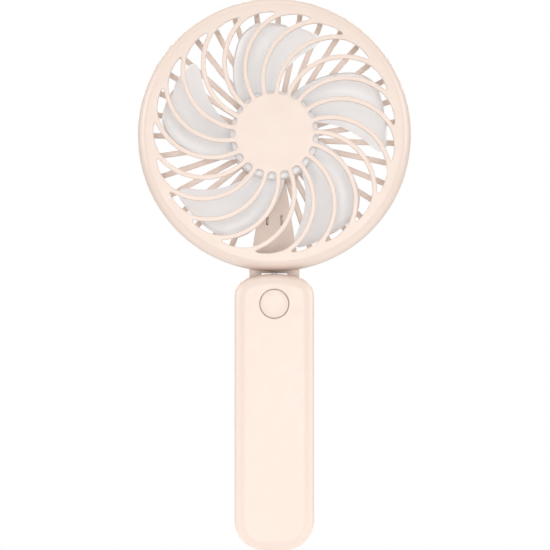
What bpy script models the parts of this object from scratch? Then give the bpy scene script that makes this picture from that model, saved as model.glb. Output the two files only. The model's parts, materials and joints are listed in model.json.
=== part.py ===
"""Handheld electric fan: a caged fan head that tilts back on a grip holding its cell, switch and boards.

Frame: metres, +Z up along the grip, the fan blows towards -Y, origin at the middle of the grip.
"""

import math

import bmesh
import bpy
from mathutils import Matrix, Vector

# Driving dimensions of the grip.
GRIP_HALF_WIDTH = 0.01515
GRIP_TOP = 0.05275
GRIP_BOTTOM = -0.05275
GRIP_FRONT = -0.013
GRIP_BACK = 0.0125
TOP_ARCH_RADIUS = 0.0323
TOP_CORNER_RADIUS = 0.0075
BOTTOM_ARCH_RADIUS = 0.038
BOTTOM_CORNER_RADIUS = 0.011
GRIP_EDGE_RADIUS = 0.0043
WALL = 0.0016
GAP = 0.0003

# Driving dimensions of the head.
HEAD_Z = 0.10615
HEAD_RADIUS = 0.0525
HEAD_FRONT = -0.0132
RIM_REACH = 0.004
SEAM_Y = -0.002
REAR_FACE = 0.0197
OPENING_RADIUS = 0.0458
RING_INNER_RADIUS = 0.0477
RIM_STEPS = 42
BOWL_STEPS = 72
SPOKE_COUNT = 21
SPOKE_WIDTH = 0.0018
SPOKE_START = 0.01525
SPOKE_BEND_RADIUS = 0.0224
SPOKE_PHASE = math.radians(1.1)
SPOKE_BACK = -0.0115
HUB_OPENING_RADIUS = 0.0149
REAR_BAR_PITCH = math.radians(10)
REAR_BAR_PHASE = math.radians(-1.8)
REAR_BAR_WIDTH = 0.0022
REAR_BAR_FRONT = 0.0176
REAR_BAR_BACK = 0.0193
REAR_HUB_RADIUS = 0.0175
SHOULDER_CENTRE = (0.0470, 0.0149)
SLOT_REACH = 0.0545
WALL_SLOT_FRONT = 0.0080

# Spine that carries the leads from the neck to the motor, at the back of the head.
SPINE_HUB_HALF_WIDTH = 0.0045
SPINE_TAPER = 0.164
SPINE_FRONT = 0.0143
SPINE_WALL = 0.0012
NECK_HALF_WIDTH = 0.0098
NECK_FRONT = 0.0028
NECK_BOTTOM = 0.0530

# Tilt hinge.
HINGE_Y = 0.0077
HINGE_Z = 0.0473
BARREL_RADIUS = 0.0048
EAR_INNER_X = 0.0051
KNUCKLE_HALF_WIDTH = 0.0043
LEAD_SLOT_HALF_WIDTH = 0.0017
PIN_RADIUS = 0.0015
SLOT_HALF_WIDTH = NECK_HALF_WIDTH + 0.0005
SLOT_FRONT = 0.0023
SLOT_FLOOR = 0.0395
HINGE_FLOOR = 0.0422

# Impeller and motor.
BLADE_COUNT = 5
IMPELLER_HUB_RADIUS = 0.0170
BLADE_TIP_RADIUS = 0.0436
BLADE_HALF_ANGLE = math.radians(22)
BLADE_SWEEP = math.radians(33)
BLADE_START = math.radians(116)
BLADE_HALF_DEPTH = 0.0056
BLADE_MIDDLE = 0.0074
BLADE_THICKNESS = 0.0012
TIP_CORNER = 0.0052
SHAFT_RADIUS = 0.001
POLE_COUNT = 6

# Push button and the small screws.
BUTTON_Z = 0.0414
BUTTON_RADIUS = 0.0054
CELL_RADIUS = 0.00915
CELL_BOTTOM = -0.0382
CELL_TOP = 0.0268
TOP_SCREW = (0.0105, 0.0363)
BOTTOM_SCREW = (0.0095, -0.045)
BOARD_SCREW = (0.0062, 0.0316)
MOTOR_SCREW_RADIUS = 0.0095
CAP_PEG_RADIUS = 0.014

MATERIALS = {
    "shell_pink": ((0.96, 0.80, 0.72), 0.42, 0.0),
    "blade_grey": ((0.78, 0.76, 0.76), 0.38, 0.0),
    "steel": ((0.62, 0.62, 0.64), 0.3, 1.0),
    "motor_steel": ((0.42, 0.43, 0.45), 0.45, 1.0),
    "copper": ((0.72, 0.34, 0.16), 0.35, 1.0),
    "magnet": ((0.16, 0.16, 0.17), 0.6, 0.4),
    "board_green": ((0.05, 0.25, 0.12), 0.5, 0.0),
    "black_plastic": ((0.03, 0.03, 0.03), 0.5, 0.0),
    "cell_wrap": ((0.12, 0.30, 0.62), 0.35, 0.0),
    "nickel": ((0.66, 0.64, 0.60), 0.35, 1.0),
    "red_lead": ((0.62, 0.05, 0.04), 0.45, 0.0),
    "black_lead": ((0.03, 0.03, 0.03), 0.45, 0.0),
}


# ---------------------------------------------------------------- outlines

def polar(radius, angle):
    return (radius * math.cos(angle), radius * math.sin(angle))


def arc(centre, radius, start, end, steps):
    """Points from angle start to angle end, both included."""
    points = []
    for step in range(steps + 1):
        x, z = polar(radius, start + (end - start) * step / steps)
        points.append((centre[0] + x, centre[1] + z))
    return points


def circle(radius, sides, centre=(0.0, 0.0)):
    return arc(centre, radius, 0.0, 2 * math.pi, sides)[:-1]


def rounded_path(sides, trims, steps=2):
    """Closed outline of the given open sides. Each corner before a side is eased over its trim length."""
    outline = []
    trimmed = []
    for index, side in enumerate(sides):
        start = trims[index]
        end = trims[(index + 1) % len(sides)]
        # Trimmed at its start, turned round and trimmed at its other end.
        trimmed.append(trim_start(trim_start(side, start)[::-1], end)[::-1])
    for index, side in enumerate(trimmed):
        corner = Vector(sides[index][0])
        before = Vector(trimmed[index - 1][-1])
        after = Vector(side[0])
        for step in range(1, steps):
            t = step / steps
            eased = before * (1 - t) ** 2 + corner * (2 * t * (1 - t)) + after * t ** 2
            outline.append(tuple(eased))
        outline.extend(side)
    return outline


def trim_start(points, length):
    """The polyline with this length taken off its start."""
    rest = [Vector(point) for point in points]
    while len(rest) > 2 and (rest[1] - rest[0]).length < length:
        length -= (rest[1] - rest[0]).length
        rest.pop(0)
    step = rest[1] - rest[0]
    rest[0] = rest[0] + step * min(length / step.length, 0.9)
    return [tuple(point) for point in rest]


def grip_outline(inset):
    """Outline of the grip seen from the front: gently arched ends joined to straight sides by round corners."""
    half = GRIP_HALF_WIDTH - inset
    outline = []
    ends = (
        (GRIP_TOP - TOP_ARCH_RADIUS, TOP_ARCH_RADIUS, TOP_CORNER_RADIUS, 1),
        (GRIP_BOTTOM + BOTTOM_ARCH_RADIUS, BOTTOM_ARCH_RADIUS, BOTTOM_CORNER_RADIUS, -1),
    )
    for arch_z, arch_radius, corner_radius, up in ends:
        corner_x = GRIP_HALF_WIDTH - corner_radius
        reach = arch_radius - corner_radius
        corner_z = arch_z + up * math.sqrt(reach ** 2 - corner_x ** 2)
        tilt = math.asin(corner_x / reach)
        corner = corner_radius - inset
        right = arc((corner_x, corner_z), corner, 0.0, up * (math.pi / 2 - tilt), 6)
        middle = arc((0.0, arch_z), arch_radius - inset, up * (math.pi / 2 - tilt),
                     up * (math.pi / 2 + tilt), 6)
        left = [(-x, z) for x, z in right[::-1]]
        end = right + middle[1:-1] + left
        outline += end if up > 0 else end[::-1]
    assert max(x for x, _ in outline) <= half + 1e-9
    return outline


def spoke_side(offset, radius, spoke):
    """Point on one side of a curved spoke, at this distance from the fan's axis."""
    side_radius = SPOKE_BEND_RADIUS + offset
    reach = math.hypot(SPOKE_START, SPOKE_BEND_RADIUS)
    rise = (radius ** 2 - reach ** 2 - side_radius ** 2) / (2 * side_radius)
    turn = math.atan2(SPOKE_BEND_RADIUS, SPOKE_START) + math.asin(rise / reach)
    x = SPOKE_START + side_radius * math.sin(turn)
    z = side_radius * math.cos(turn) - SPOKE_BEND_RADIUS
    return polar(math.hypot(x, z), math.atan2(z, x) + SPOKE_PHASE + spoke * 2 * math.pi / SPOKE_COUNT)


def spoke_opening(spoke):
    """Outline of the opening between this spoke and the one before it."""
    steps = 5
    outward = []
    inward = []
    for step in range(steps + 1):
        radius = HUB_OPENING_RADIUS + (OPENING_RADIUS - HUB_OPENING_RADIUS) * step / steps
        outward.append(spoke_side(-SPOKE_WIDTH / 2, radius, spoke))
        inward.insert(0, spoke_side(SPOKE_WIDTH / 2, radius, spoke - 1))
    rim = joining_arc(OPENING_RADIUS, outward[-1], inward[0], 1)
    hub = joining_arc(HUB_OPENING_RADIUS, inward[-1], outward[0], 1)
    return rounded_path([outward, rim, inward, hub], [0.0013, 0.0045, 0.0028, 0.0013])


def joining_arc(radius, start, end, steps):
    first = math.atan2(start[1], start[0])
    sweep = (math.atan2(end[1], end[0]) - first + math.pi) % (2 * math.pi) - math.pi
    return arc((0.0, 0.0), radius, first, first + sweep, steps)


def spine_half_width(below_hub):
    return min(SPINE_HUB_HALF_WIDTH + SPINE_TAPER * (below_hub - REAR_HUB_RADIUS), NECK_HALF_WIDTH)


def spine_outline(inset, top, bottom):
    """Tapered outline between two distances below the fan's axis."""
    high = spine_half_width(top) - inset
    low = spine_half_width(bottom) - inset
    return [(-low, -bottom), (low, -bottom), (high, -top), (-high, -top)]


def bar_side(angle, side, radius):
    """Point on one side of a straight radial bar: side is 1 for the anticlockwise side, -1 for the other."""
    across = side * REAR_BAR_WIDTH / 2
    along = math.sqrt(radius ** 2 - across ** 2)
    return (
        along * math.cos(angle) - across * math.sin(angle),
        along * math.sin(angle) + across * math.cos(angle),
    )


def rear_slots():
    """Slots between the straight rear bars, out past the wall. The two beside the spine end just inside its sides."""
    slots = []
    for index in range(36):
        first = math.radians(90) + REAR_BAR_PHASE + index * REAR_BAR_PITCH
        second = first + REAR_BAR_PITCH
        middle = math.degrees(first + second) / 2
        if 250 < middle < 290:
            continue
        slots.append([bar_side(first, 1, REAR_HUB_RADIUS), bar_side(first, 1, SLOT_REACH),
                      bar_side(second, -1, SLOT_REACH), bar_side(second, -1, REAR_HUB_RADIUS)])
    top = 0.019
    bottom = 0.0476
    for side in (-1, 1):
        bar = math.radians(270 + side * 20) + REAR_BAR_PHASE
        spine_top = (side * (spine_half_width(top) - GAP), -top)
        spine_bottom = (side * (spine_half_width(bottom) - GAP), -bottom)
        slots.append([bar_side(bar, -side, 0.0202), bar_side(bar, -side, SLOT_REACH),
                      (spine_bottom[0], -SLOT_REACH), spine_bottom, spine_top])
    return slots


# ---------------------------------------------------------------- solids

def new_collection(name):
    group = bpy.data.collections.new(name)
    bpy.context.scene.collection.children.link(group)
    return group


def add_object(name, mesh, cutter=False):
    piece = bpy.data.objects.new(name, mesh)
    (CUTTERS if cutter else PARTS).objects.link(piece)
    if cutter:
        piece.hide_render = True
        piece.display_type = "WIRE"
    return piece


def plate(name, outlines, low, high, along="Y", centre_z=0.0, cutter=False):
    """Flat outline extruded between two positions along an axis. Further outlines are holes in the first."""
    curve = bpy.data.curves.new(name, "CURVE")
    curve.dimensions = "2D"
    curve.fill_mode = "BOTH"
    curve.extrude = (high - low) / 2
    for outline in outlines:
        spline = curve.splines.new("POLY")
        spline.points.add(len(outline) - 1)
        for point, (first, second) in zip(spline.points, outline):
            point.co = (first, second, 0.0, 1.0)
        spline.use_cyclic_u = True
    holder = bpy.data.objects.new(f"{name} outline", curve)
    CUTTERS.objects.link(holder)
    middle = (low + high) / 2
    if along == "Y":
        holder.location = (0.0, middle, centre_z)
        holder.rotation_euler = (math.pi / 2, 0.0, 0.0)
    elif along == "X":
        holder.location = (middle, 0.0, centre_z)
        holder.rotation_euler = (math.pi / 2, 0.0, math.pi / 2)
    else:
        holder.location = (0.0, 0.0, middle)
    bpy.context.view_layer.update()
    graph = bpy.context.evaluated_depsgraph_get()
    mesh = bpy.data.meshes.new_from_object(holder.evaluated_get(graph))
    solid = bmesh.new()
    solid.from_mesh(mesh)
    bmesh.ops.remove_doubles(solid, verts=solid.verts, dist=1e-7)
    if len(outlines) == 1:
        for level in (curve.extrude, -curve.extrude):
            bmesh.ops.dissolve_faces(solid, faces=faces_at(solid, level))
    bmesh.ops.recalc_face_normals(solid, faces=solid.faces)
    solid.to_mesh(mesh)
    solid.free()
    mesh.name = name
    mesh.materials.clear()
    piece = add_object(name, mesh, cutter)
    piece.matrix_world = holder.matrix_world
    bpy.data.objects.remove(holder)
    return piece


def faces_at(solid, level):
    """Faces that lie flat at this local height."""
    return [face for face in solid.faces if all(abs(vertex.co.z - level) < 1e-7 for vertex in face.verts)]


def round_end(piece, front, radius, segments):
    """Rounds the rim of an extruded outline at its front (towards -Y) or at its back."""
    solid = bmesh.new()
    solid.from_mesh(piece.data)
    heights = [vertex.co.z for vertex in solid.verts]
    cap = faces_at(solid, max(heights) if front else min(heights))
    bmesh.ops.bevel(solid, geom=cap[0].edges, offset=radius, segments=segments, profile=0.5, affect="EDGES")
    solid.to_mesh(piece.data)
    solid.free()


def box(name, low, high, cutter=False):
    solid = bmesh.new()
    size = Vector(high) - Vector(low)
    bmesh.ops.create_cube(solid, size=1.0, matrix=Matrix.Diagonal((*size, 1.0)))
    return from_bmesh(name, solid, (Vector(low) + Vector(high)) / 2, cutter)


def rod(name, centre, radius, low, high, along="Y", sides=20, cutter=False, end_radius=None):
    """Round bar between two positions along an axis. centre holds the other two coordinates, in X, Y, Z order."""
    solid = bmesh.new()
    turn = {"X": Matrix.Rotation(math.pi / 2, 4, "Y"), "Y": Matrix.Rotation(-math.pi / 2, 4, "X"),
            "Z": Matrix.Identity(4)}[along]
    bmesh.ops.create_cone(
        solid, cap_ends=True, segments=sides, radius1=radius, radius2=end_radius or radius,
        depth=high - low, matrix=turn,
    )
    middle = (low + high) / 2
    first, second = centre
    place = {"X": (middle, first, second), "Y": (first, middle, second),
             "Z": (first, second, middle)}[along]
    return from_bmesh(name, solid, place, cutter)


def from_bmesh(name, solid, place, cutter):
    mesh = bpy.data.meshes.new(name)
    bmesh.ops.recalc_face_normals(solid, faces=solid.faces)
    solid.to_mesh(mesh)
    solid.free()
    piece = add_object(name, mesh, cutter)
    piece.location = place
    return piece


def turned(name, profile, steps=RIM_STEPS, along="Y", centre_z=HEAD_Z, closed=False, cutter=False):
    """Turned solid. The profile holds (radius, position along the axis), from the high end down the outside."""
    mesh = bpy.data.meshes.new(name)
    points = [(radius, 0.0, position) for radius, position in profile]
    edges = [(index, index + 1) for index in range(len(points) - 1)]
    if closed:
        edges.append((len(points) - 1, 0))
    mesh.from_pydata(points, edges, [])
    piece = add_object(name, mesh, cutter)
    screw = piece.modifiers.new("turn", "SCREW")
    screw.steps = steps
    screw.render_steps = steps
    screw.use_merge_vertices = True
    screw.merge_threshold = 1e-6
    if along == "Y":
        piece.location = (0.0, 0.0, centre_z)
        piece.rotation_euler = (-math.pi / 2, 0.0, 0.0)
    return piece


def tube(name, route, radius):
    """Lead that follows a smooth curve through its route's points."""
    curve = bpy.data.curves.new(name, "CURVE")
    curve.dimensions = "3D"
    curve.bevel_depth = radius
    curve.bevel_resolution = 1
    curve.use_fill_caps = True
    spline = curve.splines.new("POLY")
    points = smooth_route([Vector(point) for point in route], 2)
    spline.points.add(len(points) - 1)
    for target, point in zip(spline.points, points):
        target.co = (*point, 1.0)
    piece = bpy.data.objects.new(name, curve)
    PARTS.objects.link(piece)
    return piece


def smooth_route(points, steps):
    """Catmull-Rom curve through the points."""
    ends = [points[0] * 2 - points[1], *points, points[-1] * 2 - points[-2]]
    route = [points[0]]
    for a, b, c, d in zip(ends, ends[1:], ends[2:], ends[3:]):
        for step in range(1, steps + 1):
            t = step / steps
            route.append(0.5 * (2 * b + (c - a) * t + (2 * a - 5 * b + 4 * c - d) * t ** 2
                                + (3 * b - a - 3 * c + d) * t ** 3))
    return route


def combine(piece, others, operation):
    for other in others:
        step = piece.modifiers.new(f"{operation.lower()} {other.name}", "BOOLEAN")
        step.operation = operation
        step.solver = "EXACT"
        step.object = other


def join(piece, *others):
    combine(piece, others, "UNION")


def cut(piece, *others):
    combine(piece, others, "DIFFERENCE")


def finish(piece, material, parent=None):
    """Applies the modifiers, shades round faces smooth, and hangs the piece on its moving parent."""
    if piece.type == "MESH":
        bpy.context.view_layer.update()
        graph = bpy.context.evaluated_depsgraph_get()
        mesh = bpy.data.meshes.new_from_object(piece.evaluated_get(graph))
        piece.modifiers.clear()
        mesh.shade_smooth()
        mesh.set_sharp_from_angle(angle=math.radians(35))
        mesh.name = piece.name
        piece.data = mesh
    piece.data.materials.clear()
    piece.data.materials.append(bpy.data.materials[material])
    if parent:
        bpy.context.view_layer.update()
        piece.parent = parent
        piece.matrix_parent_inverse = parent.matrix_world.inverted()
    return piece


def make_materials():
    for name, (colour, roughness, metallic) in MATERIALS.items():
        material = bpy.data.materials.new(name)
        material.use_nodes = True
        shader = material.node_tree.nodes["Principled BSDF"]
        shader.inputs["Base Color"].default_value = (*colour, 1.0)
        shader.inputs["Roughness"].default_value = roughness
        shader.inputs["Metallic"].default_value = metallic
        material.diffuse_color = (*colour, 1.0)


def axis_marker(name, place):
    marker = bpy.data.objects.new(name, None)
    marker.empty_display_size = 0.01
    marker.location = place
    PARTS.objects.link(marker)
    return marker


# ---------------------------------------------------------------- grip

def make_front_shell():
    split = -GAP / 2
    shell = plate("handle_front_shell", [grip_outline(0.0)], GRIP_FRONT, split)
    round_end(shell, True, GRIP_EDGE_RADIUS, 4)
    hollow = plate("front_hollow", [grip_outline(WALL)], GRIP_FRONT + WALL, 0.002, cutter=True)
    round_end(hollow, True, GRIP_EDGE_RADIUS - WALL, 2)
    cut(shell, hollow, rod("button_hole", (0.0, BUTTON_Z), BUTTON_RADIUS + GAP, -0.016, -0.010, sides=40,
                           cutter=True))
    inner_wall = GRIP_FRONT + WALL / 2
    for side in (-1, 1):
        for label, (x, z), back, outer, pilot in (
            ("top", TOP_SCREW, 0.0032, 0.0023, 0.0013),
            ("bottom", BOTTOM_SCREW, -0.0005, 0.0023, 0.0013),
            ("board", BOARD_SCREW, -0.0053, 0.0018, 0.0010),
        ):
            post = rod(f"{label}_post_{side}", (side * x, z), outer, inner_wall, back, cutter=True,
                       sides=12)
            bore = rod(f"{label}_bore_{side}", (side * x, z), pilot, GRIP_FRONT + WALL + GAP, back + 0.001,
                       cutter=True, sides=8)
            join(shell, post)
            cut(shell, bore)
    return finish(shell, "shell_pink")


def make_rear_shell():
    split = GAP / 2
    back_wall = GRIP_BACK - WALL
    shell = plate("handle_rear_shell", [grip_outline(0.0)], split, GRIP_BACK)
    round_end(shell, False, GRIP_EDGE_RADIUS, 4)
    hollow = plate("rear_hollow", [grip_outline(WALL)], -0.002, back_wall, cutter=True)
    round_end(hollow, False, GRIP_EDGE_RADIUS - WALL, 2)
    cut(shell, hollow)
    join_depth = back_wall + WALL / 2
    cell = rod("cell_room", (0.0, 0.0), CELL_RADIUS + GAP, CELL_BOTTOM - GAP, CELL_TOP + GAP, along="Z",
               sides=48,
               cutter=True)
    for label, z in (("low", -0.026), ("high", 0.016)):
        join(shell, box(f"cradle_{label}", (-0.0142, 0.0045, z - 0.0008), (0.0142, join_depth,
                                                                           z + 0.0008), True))
    for label, z in (("low", CELL_BOTTOM - 0.0022), ("high", CELL_TOP + 0.0022)):
        join(shell, box(f"stop_{label}", (-0.005, 0.0045, z - 0.0008), (0.005, join_depth, z + 0.0008),
                        True))
    cut(shell, cell)
    for side in (-1, 1):
        join(shell, box(f"ledge_{side}", (min(side * 0.0042, side * 0.006), 0.0045, -0.0502),
                        (max(side * 0.0042, side * 0.006), join_depth, -0.0482), True))
        for label, (x, z), front in (("top", TOP_SCREW, 0.0095), ("bottom", BOTTOM_SCREW, 0.0005)):
            place = (side * x, z)
            join(shell, rod(f"{label}_pad_{side}", place, 0.0027, front, join_depth, cutter=True, sides=12))
            cut(shell, rod(f"{label}_hole_{side}", place, 0.0013, -0.001, 0.014, cutter=True, sides=8),
                rod(f"{label}_recess_{side}", place, 0.0022, 0.0109, 0.014, cutter=True, sides=16))
    slot = box("hinge_slot", (-SLOT_HALF_WIDTH, SLOT_FRONT, SLOT_FLOOR), (SLOT_HALF_WIDTH, 0.015, 0.056),
               True)
    port = plate("port_hole", [slot_outline(0.0048, 0.0019, -0.0448)], 0.008, 0.015, cutter=True)
    cut(shell, slot, port)
    return finish(shell, "shell_pink")


def slot_outline(half_width, half_height, centre_z):
    """Outline with round ends."""
    straight = half_width - half_height
    right = arc((straight, centre_z), half_height, -math.pi / 2, math.pi / 2, 6)
    left = arc((-straight, centre_z), half_height, math.pi / 2, 3 * math.pi / 2, 6)
    return right + left


def barrel_outline(up, foot):
    """Side view of a hinge barrel: round at the pin and straight as far as its foot."""
    start = 0.0 if up < 0 else math.pi
    curve = arc((HINGE_Y, HINGE_Z), BARREL_RADIUS, start, start + math.pi, 12)
    return [*curve, (curve[-1][0], foot), (curve[0][0], foot)]


def make_hinge_base():
    """Floor of the hinge slot, with the middle knuckle above it and a flange that the top screws clamp."""
    floor_half = NECK_HALF_WIDTH + 0.0001
    base = box("hinge_base", (-floor_half, SLOT_FRONT + GAP, SLOT_FLOOR + GAP),
               (floor_half, 0.0123, HINGE_FLOOR))
    flange = box("hinge_flange", (-0.0129, 0.0036, 0.0339), (0.0129, 0.0091, 0.0392), True)
    web = box("hinge_web", (-floor_half + 0.0001, 0.0037, 0.0383), (floor_half - 0.0001, 0.0090, 0.0413),
              True)
    knuckle = plate("hinge_knuckle", [barrel_outline(-1, 0.0413)], -KNUCKLE_HALF_WIDTH, KNUCKLE_HALF_WIDTH,
                    along="X", cutter=True)
    join(base, flange, web, knuckle)
    pin_hole = rod("base_pin_hole", (HINGE_Y, HINGE_Z), PIN_RADIUS + GAP, -0.006, 0.006, along="X",
                   cutter=True)
    lead_hole = box("base_lead_hole", (-LEAD_SLOT_HALF_WIDTH, 0.0066, 0.0323),
                    (LEAD_SLOT_HALF_WIDTH, 0.0094, 0.0533),
                    True)
    swing = box("base_lead_swing", (-LEAD_SLOT_HALF_WIDTH, 0.0068, 0.0440),
                (LEAD_SLOT_HALF_WIDTH, 0.0135, 0.0533),
                True)
    cut(base, pin_hole, lead_hole, swing)
    for side in (-1, 1):
        cut(base, rod(f"flange_hole_{side}", (side * TOP_SCREW[0], TOP_SCREW[1]), 0.0013, 0.002, 0.011,
                      cutter=True, sides=12))
    return finish(base, "shell_pink")


def make_hinge_hardware():
    for side, name in ((-1, "left"), (1, "right")):
        low, high = sorted((side * 0.002, side * 0.0096))
        finish(rod(f"hinge_pin_{name}", (HINGE_Y, HINGE_Z), PIN_RADIUS, low, high, along="X", sides=24),
               "steel")
        low, high = sorted((side * 0.0045, side * 0.0049))
        washer = rod(f"friction_washer_{name}", (HINGE_Y, HINGE_Z), 0.0041, low, high, along="X", sides=16)
        cut(washer, rod(f"washer_hole_{name}", (HINGE_Y, HINGE_Z), PIN_RADIUS + GAP, low - 0.001,
                        high + 0.001,
                        along="X", sides=16, cutter=True))
        finish(washer, "nickel")


def make_screw(name, place, head_radius, head_back, head_height, shank_radius, tip, parent=None):
    """Flat-headed screw along Y, its head towards +Y."""
    screw = rod(name, place, head_radius, head_back - head_height, head_back, sides=12)
    shank = rod(f"{name}_shank", place, shank_radius, tip, head_back - head_height / 2, cutter=True,
                sides=8)
    join(screw, shank)
    return finish(screw, "steel", parent)


def make_grip_screws():
    number = 0
    for x, z in (TOP_SCREW, BOTTOM_SCREW):
        for side in (-1, 1):
            number += 1
            make_screw(f"shell_screw_{number}", (side * x, z), 0.0019, 0.0123, 0.0011, 0.0010, -0.004)
    for number, side in enumerate((-1, 1), 1):
        make_screw(f"board_screw_{number}", (side * BOARD_SCREW[0], BOARD_SCREW[1]), 0.0015, -0.0025,
                   0.0010,
                   0.0007, -0.0095)


def make_power():
    cell = turned("battery_cell", [
        (0.0, CELL_TOP), (0.003, CELL_TOP), (0.003, CELL_TOP - 0.0008), (0.0082, CELL_TOP - 0.0008),
        (CELL_RADIUS, CELL_TOP - 0.0017), (CELL_RADIUS, CELL_BOTTOM + 0.0008), (0.0084, CELL_BOTTOM),
        (0.0, CELL_BOTTOM)], steps=24, along="Z")
    finish(cell, "cell_wrap")
    finish(box("cell_tab_top", (-0.003, -0.0062, CELL_TOP + GAP), (0.003, 0.003, CELL_TOP + 0.0006)),
           "nickel")
    finish(box("cell_tab_bottom", (-0.003, -0.0062, CELL_BOTTOM - 0.0006),
               (0.003, 0.003, CELL_BOTTOM - GAP)),
           "nickel")


def make_boards():
    main = box("main_board", (-0.0079, -0.005, 0.0295), (0.0079, -0.0038, 0.0485))
    for side in (-1, 1):
        cut(main, rod(f"board_hole_{side}", (side * BOARD_SCREW[0], BOARD_SCREW[1]), 0.0010, -0.007, -0.002,
                      cutter=True, sides=12))
    finish(main, "board_green")
    base = box("switch_base", (-0.003, -0.0080, BUTTON_Z - 0.003), (0.003, -0.0053, BUTTON_Z + 0.003))
    cut(base, rod("plunger_hole", (0.0, BUTTON_Z), 0.0020, -0.009, -0.0059, cutter=True, sides=24))
    finish(base, "black_plastic")
    finish(box("power_chip", (-0.0052, -0.0035, 0.0365), (-0.0012, -0.0022, 0.0405)), "black_plastic")
    finish(rod("inductor", (0.0036, 0.0385), 0.0026, -0.0035, -0.0008, sides=20), "magnet")
    finish(box("charge_board", (-0.0060, -0.0040, -0.0479), (0.0060, 0.0104, -0.0469)), "board_green")
    socket = plate("charge_socket", [slot_outline(0.0045, 0.0016, -0.0448)], 0.0052, 0.0122)
    cut(socket, plate("socket_mouth", [slot_outline(0.0041, 0.0012, -0.0448)], 0.0066, 0.014, cutter=True))
    tongue = box("socket_tongue", (-0.0031, 0.0058, -0.0451), (0.0031, 0.0113, -0.0445), True)
    join(socket, tongue)
    finish(socket, "nickel")


def make_leads(tilt):
    finish(tube("battery_lead_top", [
        (-0.002, -0.0072, 0.0277), (-0.0028, -0.0078, 0.0287), (-0.0028, -0.0068, 0.0305),
        (-0.0028, -0.0058, 0.0323)], 0.0004), "red_lead")
    finish(tube("battery_lead_bottom", [
        (0.0036, -0.001, -0.0393), (0.0085, -0.001, -0.0395), (0.0112, -0.001, -0.034),
        (0.0114, -0.001, -0.026),
        (0.0114, -0.001, -0.004), (0.0114, -0.001, 0.016), (0.0108, -0.0012, 0.0255),
        (0.0066, -0.002, 0.0277),
        (0.004, -0.0028, 0.0295), (0.004, -0.0031, 0.0323)], 0.0005), "black_lead")
    finish(tube("charge_lead", [
        (-0.004, -0.001, -0.0463), (-0.0062, -0.001, -0.0420), (-0.0112, -0.001, -0.036),
        (-0.0114, -0.001, -0.026),
        (-0.0114, -0.001, -0.004), (-0.0114, -0.001, 0.016), (-0.0108, -0.0012, 0.0255),
        (-0.0066, -0.002, 0.0277),
        (-0.004, -0.0028, 0.0295), (-0.004, -0.0031, 0.0323)], 0.0005), "red_lead")
    for name, x, material in (("red", -0.0007, "red_lead"), ("black", 0.0007, "black_lead")):
        finish(tube(f"motor_lead_lower_{name}", [
            (x, -0.0031, 0.0343), (x, -0.0014, 0.0328), (x, 0.0035, 0.0318), (x, HINGE_Y - 0.0006, 0.0338),
            (x, HINGE_Y, 0.0383), (x, HINGE_Y, 0.0423), (x, HINGE_Y, HINGE_Z - 0.0004)], 0.0005), material)
        finish(tube(f"motor_lead_upper_{name}", [
            (x, HINGE_Y, HINGE_Z + 0.0004), (x, HINGE_Y + 0.0004, 0.0508), (x, 0.0115, 0.0543),
            (x, 0.0160, 0.0563), (x, 0.0170, 0.0593), (x, 0.0170, 0.0693), (x, 0.0170, 0.0877),
            (x, 0.0168, 0.0914),
            (x, 0.0150, 0.0929), (x, 0.0140, 0.0945)], 0.0005), material, tilt)


def make_button(press):
    cap = turned("button_cap", [
        (0.0, -0.0095), (0.0015, -0.0095), (0.0015, -0.0102), (0.0066, -0.0102), (0.0066, -0.0110),
        (BUTTON_RADIUS, -0.0110), (BUTTON_RADIUS, -0.0128), (0.0052, -0.01315), (0.003, -0.0133),
        (0.0, -0.01335),
    ], steps=24, centre_z=BUTTON_Z)
    finish(cap, "shell_pink", press)
    finish(rod("switch_plunger", (0.0, BUTTON_Z), 0.0017, -0.0091, -0.0069, sides=20), "black_plastic",
           press)


# ---------------------------------------------------------------- head

def make_front_grille(tilt):
    """Ring, curved spokes and plain hub disc, moulded in one."""
    inner = HEAD_RADIUS - 0.0018
    rim_depth = SEAM_Y - HEAD_FRONT
    quarter = arc((0.0, 0.0), 1.0, 0.0, math.pi / 2, 5)
    outside = [(HEAD_RADIUS - RIM_REACH * (1 - x), SEAM_Y - rim_depth * y) for x, y in quarter]
    ring = turned("front_grille", [
        *outside, (RING_INNER_RADIUS, HEAD_FRONT), (RING_INNER_RADIUS, -0.0112),
        (0.0490, -0.0112), (0.0500, -0.0090), (inner, -0.0060), (inner, SEAM_Y)], closed=True)
    openings = [spoke_opening(spoke) for spoke in range(SPOKE_COUNT)]
    spokes = plate("front_spokes", [circle(0.0484, RIM_STEPS), *openings], HEAD_FRONT + 0.0001, SPOKE_BACK,
                   centre_z=HEAD_Z, cutter=True)
    join(ring, spokes)
    return finish(ring, "shell_pink", tilt)


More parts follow.
